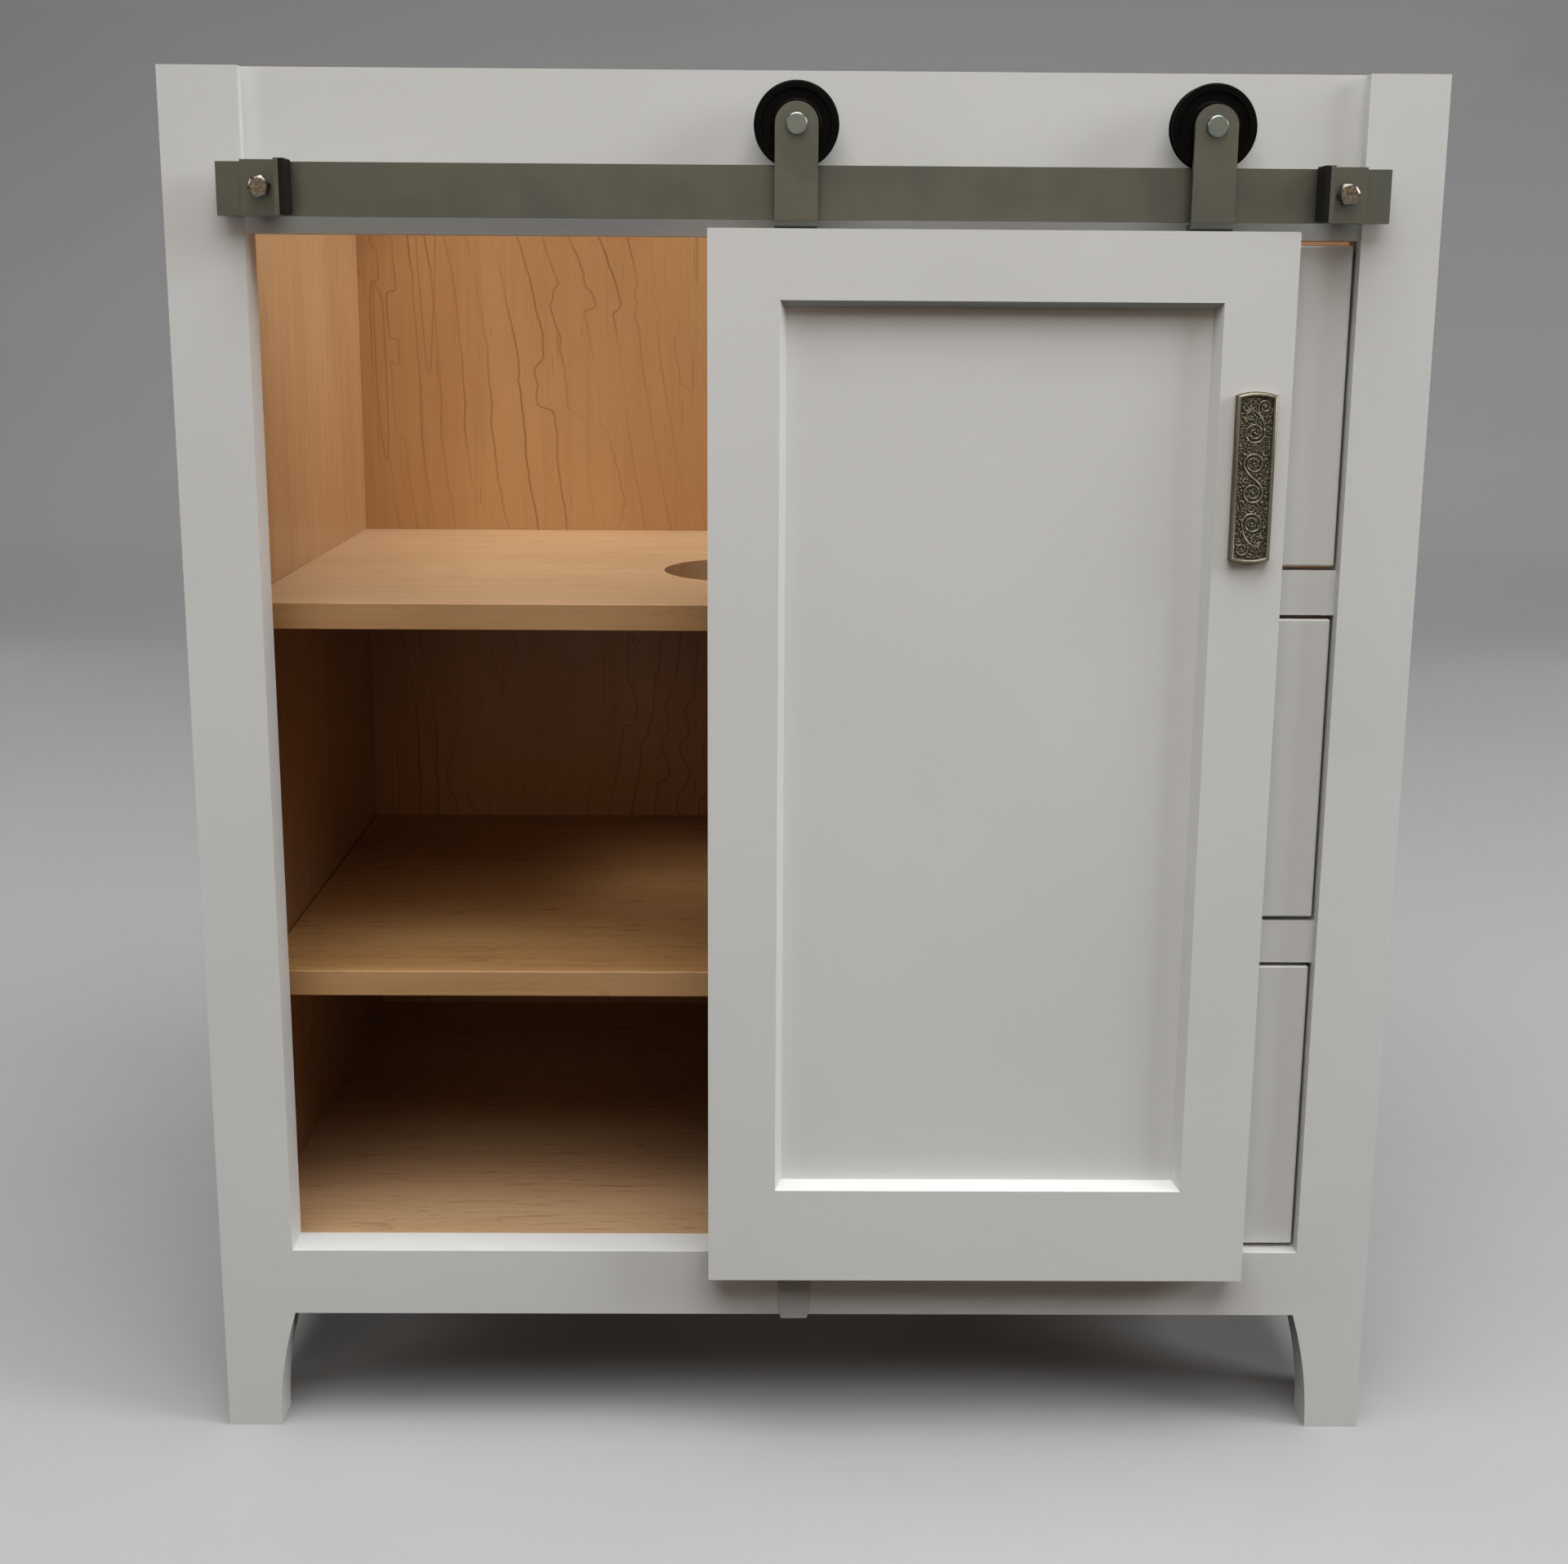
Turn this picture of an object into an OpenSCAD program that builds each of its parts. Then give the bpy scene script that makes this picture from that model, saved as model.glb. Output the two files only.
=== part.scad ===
// Bathroom vanity base with one sliding barn door, an open shelf bay and drawers.
// The unit is a face frame on plywood sides. The door hangs from two grooved wheels
// that roll on a flat bar, and it parks in front of the drawers.
// Sizes are in millimetres. X runs to the right, Y away from the front, Z up.
// Lengths below are first laid out with the front of the posts at Y = 0, and each
// piece is then moved back so that the origin is under the middle of the unit.

/* [Cabinet] */
// Overall width over the posts
cabinet_w = 762; // [700:1:860]
// Height from the floor to the seat of the worktop
cabinet_h = 876; // [820:1:920]
// Depth from the front of the posts to the wall
cabinet_d = 533; // [480:1:560]
// Thickness of the two side panels
side_t = 19; // [16:0.5:22]
// Thickness of the upright board between the bays
partition_t = 19; // [16:0.5:22]
// Thickness of the floor board of the cabinet
floor_t = 18; // [15:0.5:21]
// Thickness of the back panel
back_t = 12.5; // [9:0.5:16]
// Depth of the rebate in the side panels that takes the back panel
back_rebate = 9.5; // [6:0.5:12]
// Room behind the back panel up to the wall
back_setback = 6.5; // [4:0.5:10]
// Depth of the grooves in the sides that hold the fixed boards
dado_depth = 6; // [4:0.5:9]

/* [Face frame] */
// Width of the front posts
post_w = 47.5; // [42:0.5:56]
// Thickness of the front posts
post_t = 28; // [25:0.5:32]
// Width of a post where it meets the floor
foot_w = 35; // [28:0.5:40]
// Height of the arch under the bottom rail and the sides
arch_h = 82; // [60:1:100]
// Height of the top edge of the bottom rail
sill_h = 127; // [115:1:150]
// Thickness of the rails that are set back from the posts
rail_t = 19; // [16:0.5:22]
// Height of the top rail
top_rail_h = 95.5; // [85:0.5:110]
// Height of the two rails between the drawers
drawer_rail_h = 28; // [22:0.5:36]
// Width of the stile between the bays
centre_stile_w = 44; // [38:0.5:60]
// Width of the side legs at the floor
side_leg_w = 60; // [45:1:90]
// Height of the nailer at the top of the back
nailer_h = 76; // [50:1:85]
// Thickness of the nailer
nailer_t = 19; // [15:0.5:19]
// Leg length of the corner blocks under the worktop
block_leg = 60; // [40:1:80]
// Thickness of the corner blocks
block_t = 19; // [12:0.5:22]

/* [Shelves] */
// Thickness of the shelves
shelf_t = 17.5; // [15:0.5:20]
// Distance from the front of the posts to the edge of the shelves
shelf_setback = 65; // [50:1:120]
// Thickness of the solid edging on the shelves
edging_t = 3; // [1.5:0.5:6]
// How far the upper shelf lies under the rail above the middle drawer
upper_shelf_drop = 3.5; // [0:0.5:12]
// Height of the top of the lower shelf
lower_shelf_h = 300; // [200:1:400]
// Room at each end of the loose lower shelf
lower_shelf_gap = 1; // [0.5:0.1:2]
// Diameter of the hole for the waste pipe in the upper shelf
pipe_hole_d = 152; // [100:1:170]
// Place of that hole, left of the middle
pipe_hole_left = 20; // [0:1:60]
// Place of that hole, behind the front of the posts
pipe_hole_back = 250; // [180:1:330]
// Diameter of the pins under the lower shelf
pin_d = 5; // [4:0.5:6]
// Length of a pin inside the wood and outside it
pin_reach = 8; // [6:0.5:10]
// Distance from the ends of the shelf depth to the pins
pin_inset = 45; // [30:1:90]

/* [Drawers] */
// Thickness of the drawer fronts
front_t = 19; // [16:0.5:19]
// Gap above and below each drawer front
front_gap = 2.5; // [1.5:0.5:4]
// Gap at the sides of each drawer front
front_side_gap = 1.5; // [1:0.5:4]
// Height of the two battens behind the fixed front
batten_h = 40; // [30:1:60]
// Thickness of those battens
batten_t = 18; // [12:0.5:22]
// Thickness of the drawer sides, front boards and back boards
box_t = 12; // [9:0.5:16]
// Thickness of the drawer bottoms
box_bottom_t = 6; // [4:0.5:9]
// Room between the drawer boxes and the back panel
box_back_gap = 36; // [10:1:120]
// Height of a drawer box above the lower edge of its opening
box_lift = 12; // [8:0.5:20]
// Room between the middle drawer box and the shelf above it
box_headroom = 16; // [8:1:40]
// Depth of the groove that holds the drawer bottom
box_groove = 5; // [3:0.5:7]
// Height of the drawer bottom above the lower edge of the box
box_bottom_lift = 10; // [6:0.5:16]
// Room taken by a runner between drawer box and carcase
runner_t = 12.5; // [11:0.5:15]
// Height of a runner
runner_h = 35; // [27:0.5:46]
// Sheet thickness of the runners
runner_sheet = 1.5; // [1:0.1:2]
// Running clearance in a runner
runner_gap = 0.3; // [0.2:0.05:0.5]
// Height of the strips that pack the runners out to the opening
packing_h = 45; // [40:1:60]

/* [Door] */
// Width of the door
door_w = 348.5; // [320:0.5:380]
// Thickness of the door frame
door_t = 19; // [18:0.5:22]
// Place of the middle of the parked door, right of the middle of the unit
door_park = 117; // [80:1:150]
// How far the door reaches below the sill
door_lap = 8; // [4:0.5:14]
// Width of the face of the door stiles
door_stile_w = 43; // [38:0.5:50]
// Height of the face of the door's top rail
door_top_w = 41; // [35:0.5:60]
// Height of the face of the door's bottom rail
door_bottom_w = 62.5; // [50:0.5:80]
// Depth of the door panel behind the face of the frame
panel_recess = 10; // [7:0.5:11]
// Sideways run of the bevel round the door panel
bevel_run = 4; // [2:0.5:6]
// Flat land between the bevel and the door panel
bevel_land = 1; // [0.5:0.1:2]
// Thickness of the door panel
panel_t = 6; // [4:0.5:6.5]
// Play of the door panel across its groove
panel_fit = 0.2; // [0.1:0.05:0.4]
// Depth of the groove for the door panel
panel_groove = 9; // [6:0.5:12]
// Room for the door panel to swell at the bottom of the groove
panel_swell = 1.5; // [0.5:0.5:3]

/* [Sliding gear] */
// Height of the flat bar of the track
track_h = 31; // [26:0.5:36]
// Thickness of the bar
track_t = 5; // [4:0.5:6]
// Height of the bar above the lower edge of the top rail
track_rise = 9.5; // [8:0.5:20]
// Gap between the front of the posts and the bar
track_gap = 8; // [7:0.5:14]
// Distance of the track bolts from the inner edge of the posts
bolt_inset = 14; // [11:0.5:30]
// Height of the track bolts above the lower edge of the bar
bolt_rise = 16.5; // [14:0.5:18]
// How far the bar runs past its bolts
track_overrun = 26.5; // [20:0.5:30]
// Diameter of the sleeves that hold the bar off the top rail
sleeve_d = 16; // [14:0.5:20]
// Diameter of the track bolts
bolt_d = 8; // [5:0.5:9]
// Width across the flats of the bolt heads and nuts
bolt_flats = 13; // [10:0.5:14]
// Height of the bolt heads
bolt_head_h = 5.3; // [3:0.1:6]
// Height of the nuts behind the top rail
nut_h = 6.5; // [3:0.5:8]
// Extra diameter of every hole that a bolt passes through
bolt_play = 0.4; // [0.2:0.1:1]
// Outer diameter of the wheels
wheel_d = 50; // [46:0.5:56]
// Diameter at the bottom of the wheel's groove
wheel_groove_d = 45; // [40:0.5:45.5]
// Width of the wheels
wheel_w = 13; // [12:0.5:16]
// Diameter of the raised hub of the wheels
wheel_hub_d = 30; // [27:0.5:36]
// Depth of the dish in the faces of the wheels
wheel_dish = 1.5; // [0.5:0.5:2.5]
// Gap between groove and track
wheel_gap = 0.2; // [0.1:0.05:0.3]
// Side play of the track in the groove
groove_play = 0.7; // [0.4:0.1:1.2]
// Outer diameter of the wheel bearings
bearing_d = 22; // [19:0.5:24]
// Width of the wheel bearings
bearing_w = 7; // [5:0.5:9]
// Diameter of the axles
axle_d = 8; // [6:0.5:9]
// Radial clearance between axle and bearing
axle_fit = 0.05; // [0.02:0.01:0.1]
// Diameter of the axle heads
axle_head_d = 12.6; // [11:0.1:16]
// Height of the axle heads
axle_head_h = 4; // [2:0.5:6]
// Side play between the bearing and its spacers
bearing_play = 0.2; // [0.1:0.05:0.3]
// Width of the hanger straps
strap_w = 25.4; // [22:0.1:30]
// Thickness of the hanger straps
strap_t = 4; // [3:0.5:4.5]
// Gap between wheel and strap
strap_gap = 2.2; // [1:0.1:2.5]
// Gap between the foot of a hanger and the bar above it
foot_gap = 1.3; // [0.8:0.1:3]
// Inner radius of the bends in straps and stops
bend_r = 1.5; // [1:0.5:2.5]
// Distance from the edge of the door to the middle of a hanger
hanger_inset = 52; // [40:1:80]
// How far the straps stand back from the face of the door
strap_setback = 2.8; // [2:0.1:4]
// Length of the hanger feet over the door
strap_foot = 14.2; // [13:0.1:15]
// Diameter of the screws in the hanger feet
foot_screw_d = 4.5; // [3.5:0.5:5]
// Length of the screws in the hanger feet
foot_screw_l = 34; // [20:1:38]
// Width of the end stops along the track
stop_w = 26.2; // [25:0.1:30]
// Height of the end stops
stop_h = 32; // [30:0.5:38]
// Sheet thickness of the end stops
stop_t = 2.8; // [2:0.1:4]
// How far the stops reach in front of the bar
stop_reach = 20; // [16:0.1:24]
// Distance from a track bolt to the outer edge of its stop
stop_edge = 11.5; // [9:0.5:13]
// Thickness of the rubber pads on the stops
pad_t = 3.3; // [2:0.1:6]

/* [Door guide] */
// Place of the guide, right of the middle of the unit
guide_x = -1; // [-10:1:10]
// Width of the guide
guide_w = 22; // [18:0.5:26]
// How much narrower the guide is at its foot, on each side
guide_taper = 2; // [0:0.5:3]
// Thickness of the plate of the guide
guide_plate_t = 6; // [4:0.5:6.5]
// Thickness of the tongue and foot of the guide
guide_t = 3; // [2:0.5:4]
// Height of the tongue inside the door
tongue_h = 7; // [5:0.5:9]
// Depth of the groove under the door
slot_h = 10; // [9.5:0.5:14]
// Clearance on each side of the tongue
tongue_gap = 0.6; // [0.3:0.1:1]
// Clearance between the guide's foot and the door
guide_gap = 3; // [2:0.5:5]
// Diameter of the screws behind the guide
guide_screw_d = 4; // [3:0.5:5]

/* [Pull] */
// Width of the pull
pull_w = 24.5; // [20:0.5:32]
// Height of the pull over its arched ends
pull_h = 102.5; // [80:0.5:130]
// Rise of the arched ends
pull_arch = 2.2; // [1:0.1:5]
// How far the pull stands out from the door
pull_d = 6; // [4.5:0.1:16]
// Width of the rim of the pull
pull_rim = 1.8; // [1:0.1:3]
// Sideways run of the slope inside the rim
pull_slope = 1.2; // [0.6:0.1:2.5]
// Depth of the ground behind the rim
pull_sink = 1.9; // [1:0.1:3]
// Distance from the edge of the door to the middle of the pull
pull_inset = 21.5; // [18:0.5:25]
// Distance of the middle of the pull below the upper edge of the door
pull_drop = 143.5; // [100:0.5:340]
// Distance between the screws of the pull
pull_screw_pitch = 76; // [60:1:90]
// Diameter of the screws of the pull
pull_screw_d = 4; // [3:0.5:5]

/* [Hidden] */
$fn = 64;
tiny = 0.01;

// Main planes of the cabinet
half_w = cabinet_w / 2;
opening_x = half_w - post_w;
side_inner_x = half_w - side_t;
rail_front_y = post_t - rail_t;
front_face_y = post_t - front_t;
back_front_y = cabinet_d - back_setback - back_t;
top_rail_z = cabinet_h - top_rail_h;
floor_z = sill_h - floor_t;

// The three equal openings of the drawer side, counted from the bottom
opening_h = (top_rail_z - sill_h - 2 * drawer_rail_h) / 3;
function opening_z(row) = sill_h + row * (opening_h + drawer_rail_h);

// Shelves
shelf_front_y = shelf_setback + edging_t;
upper_shelf_z = opening_z(2) - drawer_rail_h - upper_shelf_drop - shelf_t;
lower_shelf_z = lower_shelf_h - shelf_t;
partition_x = partition_t / 2;

// Drawer boxes, with the runners and packing strips that carry them
drawer_left_x = centre_stile_w / 2;
box_left_x = drawer_left_x + runner_t;
box_right_x = opening_x - runner_t;
box_l = back_front_y - post_t - box_back_gap;
box_h = upper_shelf_z - opening_z(1) - box_lift - box_headroom;
runner_rise = box_lift + (box_h - runner_h) / 2;
runner_lip = runner_t - 2 * runner_sheet - 2 * runner_gap;

// Sliding gear from the posts forwards
track_back_y = -track_gap;
track_front_y = track_back_y - track_t;
wheel_y = track_back_y - track_t / 2;
strap_back_y = wheel_y - wheel_w / 2 - strap_gap;
strap_front_y = strap_back_y - strap_t;
stop_front_y = track_front_y - stop_reach;
track_z = top_rail_z + track_rise;
track_top_z = track_z + track_h;
axle_z = track_top_z + wheel_groove_d / 2 + wheel_gap;
bolt_x = opening_x - bolt_inset;
bolt_z = track_z + bolt_rise;
track_half = bolt_x + track_overrun;
stop_outer_x = bolt_x + stop_edge;
stop_inner_x = stop_outer_x - stop_w;

// Door, hung under the straps
door_front_y = strap_front_y - strap_setback;
door_z = sill_h - door_lap;
door_top_z = track_z - foot_gap - strap_t;
door_h = door_top_z - door_z;
door_half = door_w / 2;
stile_face_x = door_half - door_stile_w;
stile_inner_x = stile_face_x - bevel_run;
groove_w = panel_t + panel_fit;
hanger_x = door_half - hanger_inset;
slot_y = door_t / 2;
slot_w = guide_t + 2 * tongue_gap;
tongue_front_y = door_front_y + slot_y - guide_t / 2;

// Pull on the right stile of the door
pull_x = door_half - pull_inset;
pull_rise = door_h - pull_drop;
pull_front_y = door_front_y - pull_d;
screw_head_d = 2 * pull_screw_d;
screw_head_h = 0.6 * pull_screw_d;
screw_bite = pull_d - pull_sink - 1;

// Middle of the depth, which becomes Y = 0
front_y = min(pull_front_y, stop_front_y);
mid_y = (front_y + cabinet_d) / 2;

PAINT = [0.87, 0.87, 0.85];
MAPLE = [0.80, 0.60, 0.40];
MAPLE_EDGE = [0.84, 0.72, 0.56];
STEEL = [0.36, 0.36, 0.32];
ZINC = [0.72, 0.73, 0.73];
RUBBER = [0.10, 0.10, 0.10];
PLASTIC = [0.06, 0.06, 0.07];
PEWTER = [0.42, 0.39, 0.34];

// General shapes

// Moves a piece from the layout to its place round the origin
module place() translate([0, -mid_y, 0]) children();

// A block from one corner to the opposite one
module block(low, high) translate(low) cube(high - low);

// A round bar along Y from one depth to another
module bar_y(x, z, y0, y1, d) translate([x, y0, z]) rotate([-90, 0, 0]) cylinder(d = d, h = y1 - y0);

// A hexagon head or nut along Y, from its seat to its free face, with its corners turned off
module hex_y(x, z, seat, top, flats, turn = 30) {
    corners = flats / cos(30);
    face_d = 0.95 * flats;
    cone_h = (corners - face_d) / 2 * tan(30);
    length = abs(top - seat);
    translate([x, seat, z]) rotate([top > seat ? -90 : 90, turn, 0]) intersection() {
        cylinder(d = corners, h = length, $fn = 6);
        union() {
            cylinder(d = corners + 1, h = length - cone_h);
            translate([0, 0, length - cone_h]) cylinder(d1 = corners, d2 = face_d, h = cone_h);
        }
    }
}

// Draws its children on the left and, mirrored, on the right
module both_sides() {
    children();
    mirror([1, 0, 0]) children();
}

// Cross-section of a strip bent at a right angle, one leg along X and one along Y
module bent_strip(leg_x, leg_y, t) {
    outer = bend_r + t;
    translate([outer, 0]) square([leg_x - outer, t]);
    translate([0, outer]) square([t, leg_y - outer]);
    intersection() {
        square(outer);
        translate([outer, outer]) difference() {
            circle(outer);
            circle(bend_r);
        }
    }
}

// Face frame

// Radius of the curve that narrows a leg by the given amount over the arch height
function leg_curve(narrowing) = (narrowing * narrowing + arch_h * arch_h) / (2 * narrowing);

// Outline of the part cut away beside a leg, with the leg's edge at the floor on X = 0
module arch_cut(narrowing, length) {
    r = leg_curve(narrowing);
    intersection() {
        translate([r, 0]) circle(r, $fn = 180);
        translate([0, -1]) square([length, arch_h + 1]);
    }
}

module post() {
    translate([-half_w, post_t, 0]) rotate([90, 0, 0]) linear_extrude(post_t) difference() {
        square([post_w, cabinet_h]);
        translate([foot_w, 0]) arch_cut(post_w - foot_w, post_w);
    }
}

module left_post() color(PAINT) place() post();

module right_post() color(PAINT) place() mirror([1, 0, 0]) post();

module track_bolt_holes(y0, y1)
    both_sides() bar_y(bolt_x, bolt_z, y0 - 1, y1 + 1, bolt_d + bolt_play);

module top_rail() color(PAINT) place() difference() {
    block([-opening_x, rail_front_y, top_rail_z], [opening_x, post_t, cabinet_h]);
    track_bolt_holes(rail_front_y, post_t);
}

module bottom_rail() color(PAINT) place() difference() {
    block([-opening_x, 0, arch_h], [opening_x, post_t, sill_h]);
    guide_screw_set(bolt_play);
}

module centre_stile() color(PAINT) place()
    block([-centre_stile_w / 2, rail_front_y, sill_h], [centre_stile_w / 2, post_t, top_rail_z]);

module drawer_rail(row) color(PAINT) place()
    block([drawer_left_x, rail_front_y, opening_z(row) - drawer_rail_h],
          [opening_x, post_t, opening_z(row)]);

module drawer_rail_upper() drawer_rail(2);

module drawer_rail_lower() drawer_rail(1);

// Carcase

// Side panel with its legs, the rebate for the back and the grooves for the boards
module side_panel() difference() {
    translate([-half_w, 0, 0]) rotate([90, 0, 90]) linear_extrude(side_t) difference() {
        translate([post_t, 0]) square([cabinet_d - post_t, cabinet_h]);
        translate([side_leg_w, 0]) arch_cut(post_w - foot_w, cabinet_d / 2 - side_leg_w + tiny);
        translate([cabinet_d - side_leg_w, 0])
            mirror([1, 0]) arch_cut(post_w - foot_w, cabinet_d / 2 - side_leg_w + tiny);
    }
    block([-side_inner_x - back_rebate, back_front_y, floor_z],
          [-side_inner_x + 1, cabinet_d + 1, cabinet_h + 1]);
    block([-side_inner_x - dado_depth, post_t - 1, floor_z], [-side_inner_x + 1, back_front_y + 1, sill_h]);
    block([-side_inner_x - dado_depth, shelf_setback, upper_shelf_z],
          [-side_inner_x + 1, back_front_y + 1, upper_shelf_z + shelf_t]);
}

module left_side_panel() color(MAPLE) place() difference() {
    side_panel();
    pin_set(-side_inner_x);
}

module right_side_panel() color(MAPLE) place() mirror([1, 0, 0]) side_panel();

module partition() color(MAPLE) place() difference() {
    block([-partition_x, post_t, sill_h], [partition_x, back_front_y, upper_shelf_z]);
    pin_set(-partition_x);
}

module floor_panel() color(MAPLE) place()
    block([-side_inner_x - dado_depth, post_t, floor_z],
          [side_inner_x + dado_depth, back_front_y, sill_h]);

module back_panel() color(MAPLE) place()
    block([-side_inner_x - back_rebate, back_front_y, floor_z],
          [side_inner_x + back_rebate, back_front_y + back_t, cabinet_h - nailer_h]);

module back_nailer() color(MAPLE) place()
    block([-side_inner_x - back_rebate, cabinet_d - nailer_t, cabinet_h - nailer_h],
          [side_inner_x + back_rebate, cabinet_d, cabinet_h]);

// Three-cornered block in the front left corner of the top
module corner_block(y, turn)
    translate([-side_inner_x, y, cabinet_h - block_t])
        linear_extrude(block_t)
            polygon([[0, 0], [block_leg, 0], [0, turn * block_leg]]);

module corner_blocks() color(MAPLE) place() both_sides() {
    corner_block(post_t, 1);
    corner_block(cabinet_d - nailer_t, -1);
}

// Shelves

module upper_shelf() color(MAPLE) place() difference() {
    block([-side_inner_x - dado_depth, shelf_front_y, upper_shelf_z],
          [side_inner_x + dado_depth, back_front_y, upper_shelf_z + shelf_t]);
    translate([-pipe_hole_left, pipe_hole_back, upper_shelf_z - 1])
        cylinder(d = pipe_hole_d, h = shelf_t + 2, $fn = 128);
}

module upper_shelf_edging() color(MAPLE_EDGE) place()
    block([-side_inner_x - dado_depth, shelf_setback, upper_shelf_z],
          [side_inner_x + dado_depth, shelf_front_y, upper_shelf_z + shelf_t]);

module lower_shelf() color(MAPLE) place()
    block([-side_inner_x + lower_shelf_gap, shelf_front_y, lower_shelf_z],
          [-partition_x - lower_shelf_gap, back_front_y - lower_shelf_gap, lower_shelf_h]);

module lower_shelf_edging() color(MAPLE_EDGE) place()
    block([-side_inner_x + lower_shelf_gap, shelf_setback, lower_shelf_z],
          [-partition_x - lower_shelf_gap, shelf_front_y, lower_shelf_h]);

// The two pins that stick half their length out of the face at the given place
module pin_set(x)
    for (y = [shelf_setback + pin_inset, back_front_y - pin_inset])
        translate([x - pin_reach, y, lower_shelf_z - pin_d / 2])
            rotate([0, 90, 0])
                cylinder(d = pin_d, h = 2 * pin_reach);

module shelf_pins() color(ZINC) place() {
    pin_set(-side_inner_x);
    pin_set(-partition_x);
}

// Drawer side of the face frame

// A drawer front in the given row, counted from the bottom
module row_front(row) color(PAINT) place()
    block([drawer_left_x + front_side_gap, front_face_y, opening_z(row) + front_gap],
          [opening_x - front_side_gap, post_t, opening_z(row) + opening_h - front_gap]);

module false_front() row_front(2);

// Battens across the back of the top opening, which hold the fixed front
module false_front_battens() color(MAPLE) place()
    for (share = [0.25, 0.75]) {
        z = opening_z(2) + share * opening_h;
        block([-centre_stile_w / 2, post_t, z - batten_h / 2],
              [side_inner_x, post_t + batten_t, z + batten_h / 2]);
    }

// Strips that bring the runners in line with the edges of the opening
module runner_packing() color(MAPLE) place()
    for (row = [0, 1]) {
        z = opening_z(row) + runner_rise + (runner_h - packing_h) / 2;
        block([partition_x, post_t, z], [drawer_left_x, post_t + box_l, z + packing_h]);
        block([opening_x, post_t, z], [side_inner_x, post_t + box_l, z + packing_h]);
    }

// Cross-section of a channel that is open towards +X
module channel(depth, height) {
    square([runner_sheet, height]);
    square([depth, runner_sheet]);
    translate([0, height - runner_sheet]) square([depth, runner_sheet]);
}

// Lays a cross-section along a drawer
module along_drawer(z)
    translate([0, post_t + box_l, z]) rotate([90, 0, 0]) linear_extrude(box_l) children();

module fixed_runners(row) color(ZINC) place() along_drawer(opening_z(row) + runner_rise) {
    translate([drawer_left_x, 0]) channel(runner_t - runner_gap, runner_h);
    translate([opening_x, 0]) mirror([1, 0]) channel(runner_t - runner_gap, runner_h);
}

module middle_runners() fixed_runners(1);

module lower_runners() fixed_runners(0);

// Drawers that slide

inner_runner_h = runner_h - 2 * runner_sheet - 2 * runner_gap;
inner_runner_w = runner_lip + runner_sheet;
module moving_runners(row) color(ZINC) place()
    along_drawer(opening_z(row) + runner_rise + runner_sheet + runner_gap) {
        translate([box_left_x, 0]) mirror([1, 0]) channel(inner_runner_w, inner_runner_h);
        translate([box_right_x, 0]) channel(inner_runner_w, inner_runner_h);
    }

module box_bottom_space(row, play) {
    z = opening_z(row) + box_lift + box_bottom_lift;
    block([box_left_x + box_t - box_groove, post_t + box_t - box_groove, z - play],
          [box_right_x - box_t + box_groove, post_t + box_l - box_t + box_groove,
           z + box_bottom_t + play]);
}

module drawer_sides(row) color(MAPLE) place() difference() {
    z = opening_z(row) + box_lift;
    for (x = [box_left_x, box_right_x - box_t])
        block([x, post_t, z], [x + box_t, post_t + box_l, z + box_h]);
    box_bottom_space(row, 0);
}

module drawer_ends(row) color(MAPLE) place() difference() {
    z = opening_z(row) + box_lift;
    for (y = [post_t, post_t + box_l - box_t])
        block([box_left_x + box_t, y, z], [box_right_x - box_t, y + box_t, z + box_h]);
    box_bottom_space(row, 0);
}

module drawer_bottom(row) color(MAPLE) place() box_bottom_space(row, 0);

module middle_drawer_front() row_front(1);
module middle_drawer_sides() drawer_sides(1);
module middle_drawer_ends() drawer_ends(1);
module middle_drawer_bottom() drawer_bottom(1);
module middle_drawer_runners() moving_runners(1);

module lower_drawer_front() row_front(0);
module lower_drawer_sides() drawer_sides(0);
module lower_drawer_ends() drawer_ends(0);
module lower_drawer_bottom() drawer_bottom(0);
module lower_drawer_runners() moving_runners(0);

// Track

module track_bar() color(STEEL) place() difference() {
    block([-track_half, track_front_y, track_z], [track_half, track_back_y, track_top_z]);
    track_bolt_holes(track_front_y, track_back_y);
}

module track_sleeves() color(STEEL) place() difference() {
    both_sides() bar_y(bolt_x, bolt_z, track_back_y, rail_front_y, sleeve_d);
    track_bolt_holes(track_back_y, rail_front_y);
}

bolt_tail = 2;
bolt_turn = 14;
module track_bolts() color(ZINC) place() both_sides() {
    head_y = track_front_y - stop_t;
    hex_y(bolt_x, bolt_z, head_y, head_y - bolt_head_h, bolt_flats, bolt_turn);
    bar_y(bolt_x, bolt_z, head_y - tiny, post_t + nut_h + bolt_tail, bolt_d);
    hex_y(bolt_x, bolt_z, post_t, post_t + nut_h, bolt_flats);
}

// Bent plate with its flange towards the middle of the track, notched at both ends of the bend
notch_w = 2;
notch_h = 4.5;
module end_stop() difference() {
    translate([stop_inner_x, track_front_y, track_z])
        linear_extrude(stop_h)
            mirror([0, 1]) bent_strip(stop_w, stop_reach, stop_t);
    bar_y(bolt_x, bolt_z, track_front_y - stop_t - 1, track_front_y + 1, bolt_d + bolt_play);
    for (z = [track_z - 1, track_z + stop_h - notch_h])
        translate([stop_inner_x + stop_t, track_front_y - stop_t - bend_r, z])
            cube([notch_w, stop_t + bend_r + 1, notch_h + 1]);
}

module left_stop() color(STEEL) place() mirror([1, 0, 0]) end_stop();

module right_stop() color(STEEL) place() end_stop();

pad_edge = 0.8;
module stop_pads() color(RUBBER) place() both_sides()
    block([stop_inner_x - pad_t, stop_front_y, track_z + pad_edge],
          [stop_inner_x, track_front_y - pad_edge, track_z + stop_h]);

// Door guide

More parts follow.
